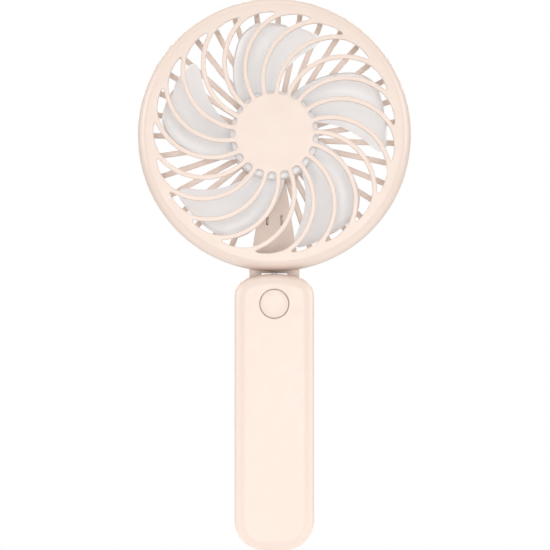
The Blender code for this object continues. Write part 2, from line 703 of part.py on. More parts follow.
def make_rear_housing(tilt):
    """Bowl whose slots wrap from the rear face round its shoulder, with spine, neck and hinge ears moulded on."""
    depth = REAR_BAR_BACK - SHOULDER_CENTRE[1]
    inside = REAR_BAR_FRONT - SHOULDER_CENTRE[1]
    bowl = turned("rear_housing", [
        (0.0, REAR_BAR_BACK), *arc(SHOULDER_CENTRE, depth, math.pi / 2, 0.0, 4), (0.0523, SEAM_Y + GAP),
        (0.0504, SEAM_Y + GAP), (0.0504, -0.0055), (0.0492, -0.0055), (0.0492, -0.0012), (0.0505, 0.0),
        *arc(SHOULDER_CENTRE, inside, 0.0, math.pi / 2, 3), (0.0, REAR_BAR_FRONT)], steps=BOWL_STEPS)
    for number, outline in enumerate(rear_slots()):
        cut(bowl, plate(f"rear_slot_{number}", [outline], WALL_SLOT_FRONT, 0.0225, centre_z=HEAD_Z,
                        cutter=True))
    skirt = turned("rear_skirt", [
        (REAR_HUB_RADIUS - 0.0001, 0.0180), (REAR_HUB_RADIUS - 0.0001, SPINE_FRONT + 0.0001),
        (0.0161, SPINE_FRONT + 0.0001), (0.0161, 0.0180)], steps=30, closed=True, cutter=True)
    spine = plate("spine", [spine_outline(0.0, 0.014, 0.0505)], SPINE_FRONT, REAR_FACE - 0.0001,
                  centre_z=HEAD_Z,
                  cutter=True)
    neck = box("neck", (-NECK_HALF_WIDTH, NECK_FRONT, NECK_BOTTOM),
               (NECK_HALF_WIDTH, REAR_FACE - 0.0003, 0.0590),
               True)
    join(bowl, skirt, spine, neck)
    for side in (-1, 1):
        low, high = sorted((side * EAR_INNER_X, side * (NECK_HALF_WIDTH - 0.0001)))
        ear = plate(f"ear_{side}", [barrel_outline(1, NECK_BOTTOM + 0.0007)], low, high, along="X",
                    cutter=True)
        join(bowl, ear)
    duct = plate("lead_duct", [spine_outline(SPINE_WALL, 0.013, 0.0495)], SPINE_FRONT + SPINE_WALL, 0.022,
                 centre_z=HEAD_Z, cutter=True)
    channel = box("neck_channel", (-0.0022, 0.0066, 0.050), (0.0022, 0.0183, 0.058), True)
    pin_hole = rod("ear_pin_hole", (HINGE_Y, HINGE_Z), PIN_RADIUS + GAP, -0.012, 0.012, along="X",
                   cutter=True)
    cut(bowl, duct, channel, pin_hole)
    for side in (-1, 1):
        x = side * 0.0028
        cut(bowl, box(f"hook_slot_{side}", (x - 0.0004, 0.012, HEAD_Z - 0.0342),
                      (x + 0.0004, 0.0165, HEAD_Z - 0.0303),
                        True))
    for number in range(3):
        screw = polar(MOTOR_SCREW_RADIUS, math.radians(90 + 120 * number))
        peg = polar(CAP_PEG_RADIUS, math.radians(30 + 60 * number))
        cut(bowl, rod(f"motor_hole_{number}", (screw[0], HEAD_Z + screw[1]), 0.0013, 0.016, 0.022,
                      cutter=True,
                        sides=12),
            rod(f"peg_hole_{number}", (peg[0], HEAD_Z + peg[1]), 0.0012, 0.016, 0.022, cutter=True,
                sides=12))
    return finish(bowl, "shell_pink", tilt)


def make_covers(tilt):
    cover = plate("neck_cover", [spine_outline(SPINE_WALL + GAP, 0.0133, 0.0492)], 0.0186, 0.0196,
                  centre_z=HEAD_Z)
    for side in (-1, 1):
        x = side * 0.0028
        join(cover, box(f"hook_{side}", (x - 0.00025, 0.0147, HEAD_Z - 0.0338), (x + 0.00025, 0.0190,
                                                                                 HEAD_Z - 0.0307),
                        True))
    finish(cover, "shell_pink", tilt)
    cap = turned("rear_hub_cap", [
        (0.0, 0.0232), (0.0105, 0.0230), (0.0152, 0.0222), (0.0167, 0.0208), (0.0169, 0.0198),
        (0.0156, 0.0198),
        (0.0153, 0.0206), (0.0142, 0.0213), (0.0, 0.0217)], steps=30)
    for number in range(3):
        peg = polar(CAP_PEG_RADIUS, math.radians(30 + 60 * number))
        join(cap, rod(f"peg_{number}", (peg[0], HEAD_Z + peg[1]), 0.0009, 0.0180, 0.0218, cutter=True,
                      sides=12))
    finish(cap, "shell_pink", tilt)


def make_motor_stator(tilt):
    base = turned("motor_base", [
        (0.0125, 0.0173), (0.0125, 0.0159), (0.0042, 0.0159), (0.0042, 0.0003), (0.0032, 0.0003),
        (0.0032, 0.0173),
    ], steps=24, closed=True)
    for number in range(3):
        screw = polar(MOTOR_SCREW_RADIUS, math.radians(90 + 120 * number))
        place = (screw[0], HEAD_Z + screw[1])
        cut(base, rod(f"base_hole_{number}", place, 0.0013, 0.014, 0.019, cutter=True, sides=12))
        make_screw(f"motor_screw_{number + 1}", place, 0.0019, 0.0208, 0.0010, 0.0010, 0.0150, tilt)
    finish(base, "motor_steel", tilt)
    for name, front in (("front", 0.0006), ("rear", 0.0120)):
        bearing = turned(f"bearing_{name}", [
            (0.0029, front + 0.0025), (0.0029, front), (0.0013, front), (0.0013, front + 0.0025)], steps=16,
            closed=True)
        finish(bearing, "steel", tilt)
    board = turned("motor_board", [
        (0.0124, 0.0134), (0.0124, 0.0124), (0.0046, 0.0124), (0.0046, 0.0134)], steps=24, closed=True)
    finish(board, "board_green", tilt)
    finish(plate("stator_core", [stator_outline(), circle(0.0045, 24)], 0.0030, 0.0100, centre_z=HEAD_Z),
           "motor_steel", tilt)
    for number in range(POLE_COUNT):
        coil = box(f"coil_{number + 1}", (0.0064, 0.0015, -0.0024), (0.0090, 0.0115, 0.0024))
        core_room = box(f"core_room_{number + 1}", (0.0055, 0.0027, -0.0015), (0.0105, 0.0103, 0.0015),
                        True)
        cut(coil, core_room)
        turn = Matrix.Translation((0.0, 0.0, HEAD_Z)) @ Matrix.Rotation(-pole_angle(number), 4, "Y")
        bpy.context.view_layer.update()
        for piece in (coil, core_room):
            piece.matrix_world = turn @ piece.matrix_world
        finish(coil, "copper", tilt)


def pole_angle(number):
    return math.radians(30) + number * 2 * math.pi / POLE_COUNT


def stator_outline():
    """Star of teeth, each widening to a curved shoe that faces the magnets."""
    neck = 0.0012
    shoe = math.radians(23)
    root = 0.0060
    outline = []
    for number in range(POLE_COUNT):
        middle = pole_angle(number)
        side = math.asin(neck / 0.0096)
        foot = math.asin(neck / root)
        outline.append(polar(root, middle - foot))
        outline.append(polar(0.0096, middle - side))
        outline.append(polar(0.0101, middle - shoe))
        outline.extend(arc((0.0, 0.0), 0.0112, middle - shoe, middle + shoe, 4))
        outline.append(polar(0.0101, middle + shoe))
        outline.append(polar(0.0096, middle + side))
        outline.append(polar(root, middle + foot))
    return outline


# ---------------------------------------------------------------- rotor

def blade_point(radius, across, blade):
    """Point of a blade's middle surface: across runs from -1 at its rear edge to 1 at its front edge."""
    half = BLADE_HALF_ANGLE
    from_corner = radius - (BLADE_TIP_RADIUS - TIP_CORNER)
    if from_corner > 0:
        half -= (TIP_CORNER - math.sqrt(max(TIP_CORNER ** 2 - from_corner ** 2, 0.0))) / radius
    outward = (radius - IMPELLER_HUB_RADIUS) / (BLADE_TIP_RADIUS - IMPELLER_HUB_RADIUS)
    angle = BLADE_START + blade * 2 * math.pi / BLADE_COUNT - BLADE_SWEEP * outward + across * half
    x, z = polar(radius, angle)
    return Vector((x, BLADE_MIDDLE - across * BLADE_HALF_DEPTH, HEAD_Z + z))


def make_impeller(spin):
    hub = turned("impeller", [
        (IMPELLER_HUB_RADIUS, 0.0135), (IMPELLER_HUB_RADIUS, -0.0033), (0.0158, -0.0045), (0.0035, -0.0045),
        (0.0035, -0.0075), (0.0013, -0.0075), (0.0013, -0.0032), (0.0152, -0.0032), (0.0152, 0.0135)],
        steps=40, closed=True)
    root = 0.0155
    radial_steps = 6
    across_steps = 4
    for blade in range(BLADE_COUNT):
        sheet = bmesh.new()
        bmesh.ops.create_grid(sheet, x_segments=radial_steps, y_segments=across_steps, size=1.0)
        for vertex in sheet.verts:
            outward = (vertex.co.x + 1) / 2
            # Rows bunch up towards the tip, where the corners are round.
            outward = 1 - (1 - outward) ** 1.5
            vertex.co = blade_point(root + (BLADE_TIP_RADIUS - root) * outward, vertex.co.y, blade)
        mesh = bpy.data.meshes.new(f"blade_{blade}")
        sheet.to_mesh(mesh)
        sheet.free()
        piece = add_object(f"blade_{blade}", mesh, cutter=True)
        thicken = piece.modifiers.new("thickness", "SOLIDIFY")
        thicken.thickness = BLADE_THICKNESS
        thicken.offset = 0.0
        join(hub, piece)
    return finish(hub, "blade_grey", spin)


def make_rotor(spin):
    make_impeller(spin)
    cup = turned("rotor_cup", [
        (0.0142, 0.0120), (0.0142, -0.0015), (0.0137, -0.0020), (0.0013, -0.0020), (0.0013, -0.0010),
        (0.0134, -0.0010), (0.0134, 0.0120)], steps=28, closed=True)
    finish(cup, "motor_steel", spin)
    magnets = turned("magnet_ring", [
        (0.0131, 0.0115), (0.0131, 0.0015), (0.0118, 0.0015), (0.0118, 0.0115)], steps=28, closed=True)
    finish(magnets, "magnet", spin)
    finish(rod("motor_shaft", (0.0, HEAD_Z), SHAFT_RADIUS, -0.0065, 0.0162, sides=20), "steel", spin)
    clip = rod("shaft_clip", (0.0, HEAD_Z), 0.0025, 0.0150, 0.0154, sides=24)
    cut(clip, rod("clip_bore", (0.0, HEAD_Z), SHAFT_RADIUS + GAP, 0.0140, 0.0164, sides=20, cutter=True),
        box("clip_mouth", (-0.0007, 0.0140, HEAD_Z - 0.004), (0.0007, 0.0164, HEAD_Z), True))
    finish(clip, "steel", spin)


# ---------------------------------------------------------------- assembly

for old in list(bpy.data.objects):
    bpy.data.objects.remove(old, do_unlink=True)
PARTS = new_collection("handheld_fan")
CUTTERS = new_collection("cutters")
make_materials()
tilt_axis = axis_marker("head_tilt_axis", (0.0, HINGE_Y, HINGE_Z))
spin_axis = axis_marker("impeller_axis", (0.0, 0.0, HEAD_Z))
press_axis = axis_marker("button_axis", (0.0, GRIP_FRONT, BUTTON_Z))
bpy.context.view_layer.update()
spin_axis.parent = tilt_axis
spin_axis.matrix_parent_inverse = tilt_axis.matrix_world.inverted()
bpy.context.view_layer.update()

make_front_shell()
make_rear_shell()
make_hinge_base()
make_hinge_hardware()
make_grip_screws()
make_power()
make_boards()
make_leads(tilt_axis)
make_button(press_axis)
make_front_grille(tilt_axis)
make_rear_housing(tilt_axis)
make_covers(tilt_axis)
make_motor_stator(tilt_axis)
make_rotor(spin_axis)
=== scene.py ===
"""Looks of the handheld fan: fine mouldings, impeller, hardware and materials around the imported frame.

Row frame: metres, +Z up along the grip, the fan blows towards -Y, origin at the middle of the grip.
"""

import json
import math

import bmesh
import bpy
from mathutils import Matrix, Vector


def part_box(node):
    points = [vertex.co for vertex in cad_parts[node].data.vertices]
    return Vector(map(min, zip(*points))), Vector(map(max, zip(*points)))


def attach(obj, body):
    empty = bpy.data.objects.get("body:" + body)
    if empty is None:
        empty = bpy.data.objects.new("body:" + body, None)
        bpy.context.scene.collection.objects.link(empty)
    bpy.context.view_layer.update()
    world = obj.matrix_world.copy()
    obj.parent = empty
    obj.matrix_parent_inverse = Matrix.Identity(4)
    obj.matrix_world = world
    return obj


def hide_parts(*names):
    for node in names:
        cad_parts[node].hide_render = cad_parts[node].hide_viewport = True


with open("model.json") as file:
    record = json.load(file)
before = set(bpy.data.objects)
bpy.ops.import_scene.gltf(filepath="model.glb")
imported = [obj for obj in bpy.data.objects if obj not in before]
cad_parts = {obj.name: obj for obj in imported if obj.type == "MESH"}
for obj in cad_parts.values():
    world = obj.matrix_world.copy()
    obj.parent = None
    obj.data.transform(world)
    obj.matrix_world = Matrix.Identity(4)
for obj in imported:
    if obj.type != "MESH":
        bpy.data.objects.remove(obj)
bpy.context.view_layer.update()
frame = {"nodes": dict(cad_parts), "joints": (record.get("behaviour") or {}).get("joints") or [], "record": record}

JOINTS = {joint["name"]: joint for joint in frame["joints"]}

# Sizes read from the frame.
GRIP_HALF_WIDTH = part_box("handle_front_shell")[1].x
GRIP_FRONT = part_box("handle_front_shell")[0].y
GRIP_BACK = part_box("handle_rear_shell")[1].y
GRIP_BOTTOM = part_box("handle_front_shell")[0].z
GRIP_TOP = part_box("handle_front_shell")[1].z
HEAD_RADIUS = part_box("front_grille")[1].x
HEAD_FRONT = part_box("front_grille")[0].y
SEAM_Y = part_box("front_grille")[1].y
REAR_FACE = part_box("rear_housing")[1].y
HEAD_Z = JOINTS["impeller_spin"]["pos_m"][2]
HINGE_Y = JOINTS["head_tilt"]["pos_m"][1]
HINGE_Z = JOINTS["head_tilt"]["pos_m"][2]
BUTTON_Z = sum(corner.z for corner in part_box("switch_plunger")) / 2

# Grip.
TOP_ARCH_RADIUS = 0.0323
TOP_CORNER_RADIUS = 0.0075
BOTTOM_ARCH_RADIUS = 0.038
BOTTOM_CORNER_RADIUS = 0.011
GRIP_EDGE_RADIUS = 0.0043
WALL = 0.0016
BUTTON_RADIUS = 0.0054
BUTTON_GAP = 0.00022
TOP_SCREW = (0.0105, 0.0363)
BOTTOM_SCREW = (0.0095, -0.045)
PORT_Z = -0.0448

# Head.
RIM_REACH = 0.004
OPENING_RADIUS = 0.0458
HUB_OPENING_RADIUS = 0.0149
SPOKE_COUNT = 21
SPOKE_WIDTH = 0.0018
SPOKE_START = 0.01525
SPOKE_BEND_RADIUS = 0.0224
SPOKE_PHASE = math.radians(1.1)
SPOKE_BACK = -0.0115
REAR_BAR_PITCH = math.radians(10)
REAR_BAR_PHASE = math.radians(-1.8)
REAR_BAR_WIDTH = 0.0022
REAR_BAR_FRONT = 0.0176
REAR_BAR_BACK = 0.0193
REAR_HUB_RADIUS = 0.0175
SHOULDER_CENTRE = (0.0470, 0.0149)
WALL_SLOT_FRONT = 0.0080
SPINE_HUB_HALF_WIDTH = 0.0045
SPINE_TAPER = 0.164
SPINE_FRONT = 0.0143
SPINE_WALL = 0.0012
NECK_HALF_WIDTH = 0.0098
NECK_FRONT = 0.0028
NECK_BOTTOM = 0.0530
NECK_TOP = 0.0590

# Hinge.
BARREL_RADIUS = 0.0048
EAR_INNER_X = 0.0051
KNUCKLE_HALF_WIDTH = 0.0043
LEAD_SLOT_HALF_WIDTH = 0.0017
PIN_RADIUS = 0.0015
PIN_CLEARANCE = 0.0001
SLOT_HALF_WIDTH = NECK_HALF_WIDTH + 0.0005
SLOT_FRONT = 0.0023
SLOT_FLOOR = 0.0395
HINGE_FLOOR = 0.0422

# Impeller.
BLADE_COUNT = 5
IMPELLER_HUB_RADIUS = 0.0170
BLADE_TIP_RADIUS = 0.0436
BLADE_HALF_ANGLE = math.radians(22)
BLADE_SWEEP = math.radians(33)
BLADE_START = math.radians(116)
BLADE_HALF_DEPTH = 0.0056
BLADE_MIDDLE = 0.0074
BLADE_THICKNESS = 0.0012
TIP_CORNER = 0.0052

# Camera.
VIEW_WIDTH = 0.2112
VIEW_PLANE_Y = -0.004
CAMERA_DISTANCE = 0.645
CAMERA_X = 0.00025
CAMERA_Z = 0.0523

# Studio.
FLOOR_Z = -0.13
FLOOR_RADIUS = 0.44
ROOM_GLOW = 0.36
SOFTBOXES = (
    ("key_softbox", (0.03, -1.5, 0.06), 0.32, 0.60),
    ("top_softbox", (-0.1, -0.3, 1.6), 0.60, 0.45),
    ("rear_softbox", (0.0, 1.5, 0.5), 0.50, 0.75),
    ("left_softbox", (-1.5, 0.1, 0.4), 0.50, 0.45),
    ("right_softbox", (1.5, 0.1, 0.4), 0.50, 0.48),
)


# ---------------------------------------------------------------- outlines

def polar(radius, angle):
    return (radius * math.cos(angle), radius * math.sin(angle))


def arc(centre, radius, start, end, steps):
    """Points from angle start to angle end, both included."""
    points = []
    for step in range(steps + 1):
        across, up = polar(radius, start + (end - start) * step / steps)
        points.append((centre[0] + across, centre[1] + up))
    return points


def circle(radius, sides, centre=(0.0, 0.0)):
    return arc(centre, radius, 0.0, 2 * math.pi, sides)[:-1]


def rectangle(low, high):
    return [low, (high[0], low[1]), high, (low[0], high[1])]


def offset_outline(points, distance):
    """Closed anticlockwise outline with each point moved outwards by this distance from its two sides."""
    moved = []
    for before, point, after in zip(points[-1:] + points[:-1], points, points[1:] + points[:1]):
        first = (Vector(point) - Vector(before)).normalized()
        second = (Vector(after) - Vector(point)).normalized()
        outward = Vector((first.y + second.y, -first.x - second.x)).normalized()
        stretch = max(outward.dot(Vector((first.y, -first.x))), 0.5)
        moved.append(tuple(Vector(point) + outward * distance / stretch))
    return moved


def anticlockwise(points):
    area = sum(a[0] * b[1] - b[0] * a[1] for a, b in zip(points, points[1:] + points[:1]))
    return points if area > 0 else points[::-1]


def soften(points, radii, steps=6, closed=True):
    """Outline or profile whose corners are eased over a length of about these radii."""
    if isinstance(radii, float):
        radii = [radii] * len(points)
    eased = []
    last = len(points) - 1
    for index, (point, radius) in enumerate(zip(points, radii)):
        if radius == 0.0 or (not closed and index in (0, last)):
            eased.append(tuple(point))
            continue
        corner = Vector(point)
        before = Vector(points[index - 1]) - corner
        after = Vector(points[(index + 1) % len(points)]) - corner
        start = corner + before.normalized() * min(radius, before.length * 0.49)
        end = corner + after.normalized() * min(radius, after.length * 0.49)
        for step in range(steps + 1):
            t = step / steps
            eased.append(tuple(start * (1 - t) ** 2 + corner * (2 * t * (1 - t)) + end * t ** 2))
    return eased


def trim_start(points, length):
    """The polyline with this length taken off its start."""
    rest = [Vector(point) for point in points]
    while len(rest) > 2 and (rest[1] - rest[0]).length < length:
        length -= (rest[1] - rest[0]).length
        rest.pop(0)
    step = rest[1] - rest[0]
    rest[0] = rest[0] + step * min(length / step.length, 0.9)
    return [tuple(point) for point in rest]


def rounded_path(sides, trims, steps):
    """Closed outline of the given open sides. Each corner before a side is eased over its trim length."""
    outline = []
    trimmed = []
    for index, side in enumerate(sides):
        start = trims[index]
        end = trims[(index + 1) % len(sides)]
        trimmed.append(trim_start(trim_start(side, start)[::-1], end)[::-1])
    for index, side in enumerate(trimmed):
        corner = Vector(sides[index][0])
        before = Vector(trimmed[index - 1][-1])
        after = Vector(side[0])
        for step in range(1, steps):
            t = step / steps
            outline.append(tuple(before * (1 - t) ** 2 + corner * (2 * t * (1 - t)) + after * t ** 2))
        outline.extend(side)
    return outline


def grip_outline(inset):
    """Outline of the grip from the front: arched ends joined to straight sides by round corners."""
    outline = []
    ends = (
        (GRIP_TOP - TOP_ARCH_RADIUS, TOP_ARCH_RADIUS, TOP_CORNER_RADIUS, 1),
        (GRIP_BOTTOM + BOTTOM_ARCH_RADIUS, BOTTOM_ARCH_RADIUS, BOTTOM_CORNER_RADIUS, -1),
    )
    for arch_z, arch_radius, corner_radius, up in ends:
        corner_x = GRIP_HALF_WIDTH - corner_radius
        reach = arch_radius - corner_radius
        corner_z = arch_z + up * math.sqrt(reach ** 2 - corner_x ** 2)
        tilt = math.asin(corner_x / reach)
        right = arc((corner_x, corner_z), corner_radius - inset, 0.0, up * (math.pi / 2 - tilt), 18)
        middle = arc((0.0, arch_z), arch_radius - inset, up * (math.pi / 2 - tilt),
                     up * (math.pi / 2 + tilt), 28)
        left = [(-x, z) for x, z in right[::-1]]
        end = right + middle[1:-1] + left
        outline += end if up > 0 else end[::-1]
    return outline


def spoke_side(offset, radius, spoke):
    """Point on one side of a curved spoke, at this distance from the fan's axis."""
    side_radius = SPOKE_BEND_RADIUS + offset
    reach = math.hypot(SPOKE_START, SPOKE_BEND_RADIUS)
    rise = (radius ** 2 - reach ** 2 - side_radius ** 2) / (2 * side_radius)
    turn = math.atan2(SPOKE_BEND_RADIUS, SPOKE_START) + math.asin(rise / reach)
    x = SPOKE_START + side_radius * math.sin(turn)
    z = side_radius * math.cos(turn) - SPOKE_BEND_RADIUS
    return polar(math.hypot(x, z), math.atan2(z, x) + SPOKE_PHASE + spoke * 2 * math.pi / SPOKE_COUNT)


def joining_arc(radius, start, end, steps):
    first = math.atan2(start[1], start[0])
    sweep = (math.atan2(end[1], end[0]) - first + math.pi) % (2 * math.pi) - math.pi
    return arc((0.0, 0.0), radius, first, first + sweep, steps)


def spoke_opening(spoke):
    """Outline of the opening between this spoke and the one before it, round where it meets the hub."""
    steps = 34
    outward = []
    inward = []
    for step in range(steps + 1):
        radius = HUB_OPENING_RADIUS + (OPENING_RADIUS - HUB_OPENING_RADIUS) * step / steps
        outward.append(spoke_side(-SPOKE_WIDTH / 2, radius, spoke))
        inward.insert(0, spoke_side(SPOKE_WIDTH / 2, radius, spoke - 1))
    rim = joining_arc(OPENING_RADIUS, outward[-1], inward[0], 12)
    hub = joining_arc(HUB_OPENING_RADIUS, inward[-1], outward[0], 4)
    return anticlockwise(rounded_path([outward, rim, inward, hub], [0.0013, 0.0045, 0.0028, 0.0013], 8))


def spine_half_width(below_hub):
    return min(SPINE_HUB_HALF_WIDTH + SPINE_TAPER * (below_hub - REAR_HUB_RADIUS), NECK_HALF_WIDTH)


def spine_outline(inset, top, bottom):
    """Tapered outline between two distances below the fan's axis, in the head's own heights."""
    high = spine_half_width(top) - inset
    low = spine_half_width(bottom) - inset
    return [(-low, -bottom), (low, -bottom), (high, -top), (-high, -top)]


def slot_outline(half_width, half_height, centre_z):
    """Outline with round ends."""
    straight = half_width - half_height
    right = arc((straight, centre_z), half_height, -math.pi / 2, math.pi / 2, 16)
    left = arc((-straight, centre_z), half_height, math.pi / 2, 3 * math.pi / 2, 16)
    return right + left


def barrel_outline(up, foot):
    """Side view of a hinge barrel, as (y, z): round at the pin and straight as far as its foot."""
    start = 0.0 if up < 0 else math.pi
    curve = arc((HINGE_Y, HINGE_Z), BARREL_RADIUS, start, start + math.pi, 40)
    return [*curve, (curve[-1][0], foot), (curve[0][0], foot)]


# ---------------------------------------------------------------- mesh building

def place(along, level, point, centre_z=0.0):
    """Point in the row frame of an outline's point, at this level along the axis."""
    first, second = point
    if along == "Y":
        return (first, level, second + centre_z)
    if along == "X":
        return (level, first, second + centre_z)
    return (first, second, level)


def add_loop(solid, points):
    return [solid.verts.new(point) for point in points]


def bridge(solid, first, second):
    """Quads between two closed loops with the same number of points."""
    count = len(first)
    for index in range(count):
        after = (index + 1) % count
        solid.faces.new((first[index], first[after], second[after], second[index]))


def loop_edges(solid, loop):
    return [solid.edges.get((a, b)) for a, b in zip(loop, loop[1:] + loop[:1])]


def to_object(name, solid):
    bmesh.ops.recalc_face_normals(solid, faces=solid.faces)
    mesh = bpy.data.meshes.new(name)
    solid.to_mesh(mesh)
    solid.free()
    made = bpy.data.objects.new(name, mesh)
    bpy.context.scene.collection.objects.link(made)
    return made


def loft(name, rows):
    """Closed solid through closed loops of points, capped at both ends."""
    solid = bmesh.new()
    loops = [add_loop(solid, row) for row in rows]
    for first, second in zip(loops, loops[1:]):
        bridge(solid, first, second)
    solid.faces.new(loops[0])
    solid.faces.new(loops[-1])
    return to_object(name, solid)


def edge_steps(radius, steps=4):
    """(inset, depth) pairs of a quarter-round edge, from the flat face to the side."""
    pairs = []
    for step in range(steps + 1):
        angle = math.pi / 2 * step / steps
        pairs.append((radius * (1 - math.sin(angle)), radius * (1 - math.cos(angle))))
    return pairs


def prism(name, outline, low, high, along="Y", edge=0.0003, centre_z=0.0):
    """Outline extruded between two levels along an axis, with its end edges rounded."""
    outline = anticlockwise(outline)
    levels = [(inset, low + depth) for inset, depth in edge_steps(edge)]
    levels += [(inset, high - depth) for inset, depth in edge_steps(edge)[::-1]]
    rows = []
    for inset, level in levels:
        rows.append([place(along, level, point, centre_z) for point in offset_outline(outline, -inset)])
    return loft(name, rows)


def lipped_cutter(outline, surface, end, lip):
    """Cutter along Y whose hole gets a rounded lip where it leaves the surface."""
    into = 1 if end > surface else -1
    outline = anticlockwise(outline)
    levels = [(lip, surface - into * 0.001)]
    levels += [(inset, surface + into * depth) for inset, depth in edge_steps(lip)]
    levels.append((0.0, end))
    rows = []
    for spread, level in levels:
        rows.append([place("Y", level, point) for point in offset_outline(outline, spread)])
    return loft("cutter", rows)


def lathe(name, profile, segments=96, centre=(0.0, HEAD_Z), along="Y", closed=False):
    """Turned solid. The profile is (radius, position along the axis), and is closed or ends on the axis."""
    solid = bmesh.new()
    loops = []
    for radius, level in profile:
        if radius == 0.0:
            loops.append(add_loop(solid, [turned_point(along, level, (0.0, 0.0), centre)]))
        else:
            loops.append(add_loop(solid, [
                turned_point(along, level, p, centre) for p in circle(radius, segments)]))
    pairs = list(zip(loops, loops[1:]))
    if closed:
        pairs.append((loops[-1], loops[0]))
    for first, second in pairs:
        if len(first) == len(second):
            bridge(solid, first, second)
            continue
        pole, loop = (first[0], second) if len(first) == 1 else (second[0], first)
        for a, b in zip(loop, loop[1:] + loop[:1]):
            solid.faces.new((pole, a, b))
    return to_object(name, solid)


def turned_point(along, level, point, centre):
    first, second = point[0] + centre[0], point[1] + centre[1]
    return {"Y": (first, level, second), "X": (level, first, second), "Z": (first, second, level)}[along]


def pierced(name, openings, front, back, lip, rim, segments):
    """Moulding between two flat faces with openings. Its rim is turned, from front face to back face."""
    solid = bmesh.new()
    loops = []
    for radius, level in rim:
        loops.append(add_loop(solid, [
            place("Y", level, point, HEAD_Z) for point in circle(radius, segments)]))
    for first, second in zip(loops, loops[1:]):
        bridge(solid, first, second)
    front_edges = loop_edges(solid, loops[0])
    back_edges = loop_edges(solid, loops[-1])
    levels = [(spread, front + depth) for spread, depth in edge_steps(lip)]
    levels += [(spread, back - depth) for spread, depth in edge_steps(lip, 3)[::-1]]
    for outline in openings:
        rows = []
        for spread, level in levels:
            points = offset_outline(outline, spread)
            rows.append(add_loop(solid, [place("Y", level, point, HEAD_Z) for point in points]))
        for first, second in zip(rows, rows[1:]):
            bridge(solid, first, second)
        front_edges += loop_edges(solid, rows[0])
        back_edges += loop_edges(solid, rows[-1])
    for edges, normal in ((front_edges, (0, -1, 0)), (back_edges, (0, 1, 0))):
        bmesh.ops.triangle_fill(solid, use_beauty=True, use_dissolve=False, edges=edges, normal=normal)
    return to_object(name, solid)


def combine(base, operation, *others):
    """Applies a Boolean of these objects to the base, and removes them."""
    for other in others:
        step = base.modifiers.new("combine", "BOOLEAN")
        step.operation = operation
        step.solver = "EXACT"
        step.object = other
    bpy.context.view_layer.update()
    graph = bpy.context.evaluated_depsgraph_get()
    mesh = bpy.data.meshes.new_from_object(base.evaluated_get(graph))
    base.modifiers.clear()
    base.data = mesh
    for other in others:
        bpy.data.objects.remove(other)
    return base


def join(base, *others):
    return combine(base, "UNION", *others)


def cut(base, *others):
    return combine(base, "DIFFERENCE", *others)


def finish(piece, slot, body, *nodes):
    """Shades the piece, gives it its material, and makes it ride in place of these CAD nodes."""
    piece.data.shade_smooth()
    piece.data.set_sharp_from_angle(angle=math.radians(38))
    normals = piece.modifiers.new("flat faces stay flat", "WEIGHTED_NORMAL")
    normals.keep_sharp = True
    piece.data.materials.clear()
    piece.data.materials.append(MATERIALS[slot])
    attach(piece, body)
    if nodes:
        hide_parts(*nodes)
    return piece


# ---------------------------------------------------------------- materials

class Surface:
    """A Principled material under construction. Textures use the row frame's metres."""

    def __init__(self, name, roughness, metallic=0.0):
        self.material = bpy.data.materials.new(name)
        self.material.use_nodes = True
        self.tree = self.material.node_tree
        self.shader = self.tree.nodes["Principled BSDF"]
        self.shader.inputs["Metallic"].default_value = metallic
        self.shader.inputs["Roughness"].default_value = roughness
        self.coordinates = self.tree.nodes.new("ShaderNodeTexCoord").outputs["Object"]
        self.normal = None

    def link(self, output, node, name):
        self.tree.links.new(output, node.inputs[name])

    def mapped(self, stretch):
        mapping = self.tree.nodes.new("ShaderNodeMapping")
        mapping.inputs["Scale"].default_value = stretch
        self.link(self.coordinates, mapping, "Vector")
        return mapping.outputs["Vector"]

    def noise(self, size, detail=2.0, stretch=(1.0, 1.0, 1.0)):
        """Noise with features of about this size in metres."""
        node = self.tree.nodes.new("ShaderNodeTexNoise")
        node.inputs["Scale"].default_value = 1 / size
        node.inputs["Detail"].default_value = detail
        self.link(self.mapped(stretch), node, "Vector")
        return node.outputs["Fac"]

    def bands(self, pitch, direction, distortion=0.0):
        """Parallel ridges with this pitch in metres, one after another along the direction."""
        node = self.tree.nodes.new("ShaderNodeTexWave")
        node.wave_type = "BANDS"
        node.bands_direction = direction
        node.inputs["Scale"].default_value = 2 * math.pi / (20 * pitch)
        node.inputs["Distortion"].default_value = distortion
        self.link(self.coordinates, node, "Vector")
        return node.outputs["Fac"]

    def spread(self, factor, low, high, start=0.3, end=0.7):
        """Stretches a texture's middle values to the range from low to high."""
        node = self.tree.nodes.new("ShaderNodeMapRange")
        node.inputs["From Min"].default_value = start
        node.inputs["From Max"].default_value = end
        node.inputs["To Min"].default_value = low
        node.inputs["To Max"].default_value = high
        self.link(factor, node, "Value")
        return node.outputs["Result"]

    def mix(self, factor, first, second):
        """Colour between two colours, each a tuple or another colour's output."""
        node = self.tree.nodes.new("ShaderNodeMix")
        node.data_type = "RGBA"
        self.tree.links.new(factor, node.inputs["Factor"])
        for socket, colour in ((node.inputs[6], first), (node.inputs[7], second)):
            if isinstance(colour, tuple):
                socket.default_value = (*colour, 1.0)
            else:
                self.tree.links.new(colour, socket)
        return node.outputs[2]

    def colour(self, output):
        self.link(output, self.shader, "Base Color")

    def roughness(self, output):
        self.link(output, self.shader, "Roughness")

    def bump(self, height, depth, strength=1.0):
        """Relief of this depth in metres, on top of any relief already there."""
        node = self.tree.nodes.new("ShaderNodeBump")
        node.inputs["Strength"].default_value = strength
        node.inputs["Distance"].default_value = depth
        self.link(height, node, "Height")
        if self.normal:
            self.link(self.normal, node, "Normal")
        self.normal = node.outputs["Normal"]
        self.link(self.normal, self.shader, "Normal")


def scaled(colour, factor):
    return tuple(min(channel * factor, 1.0) for channel in colour)


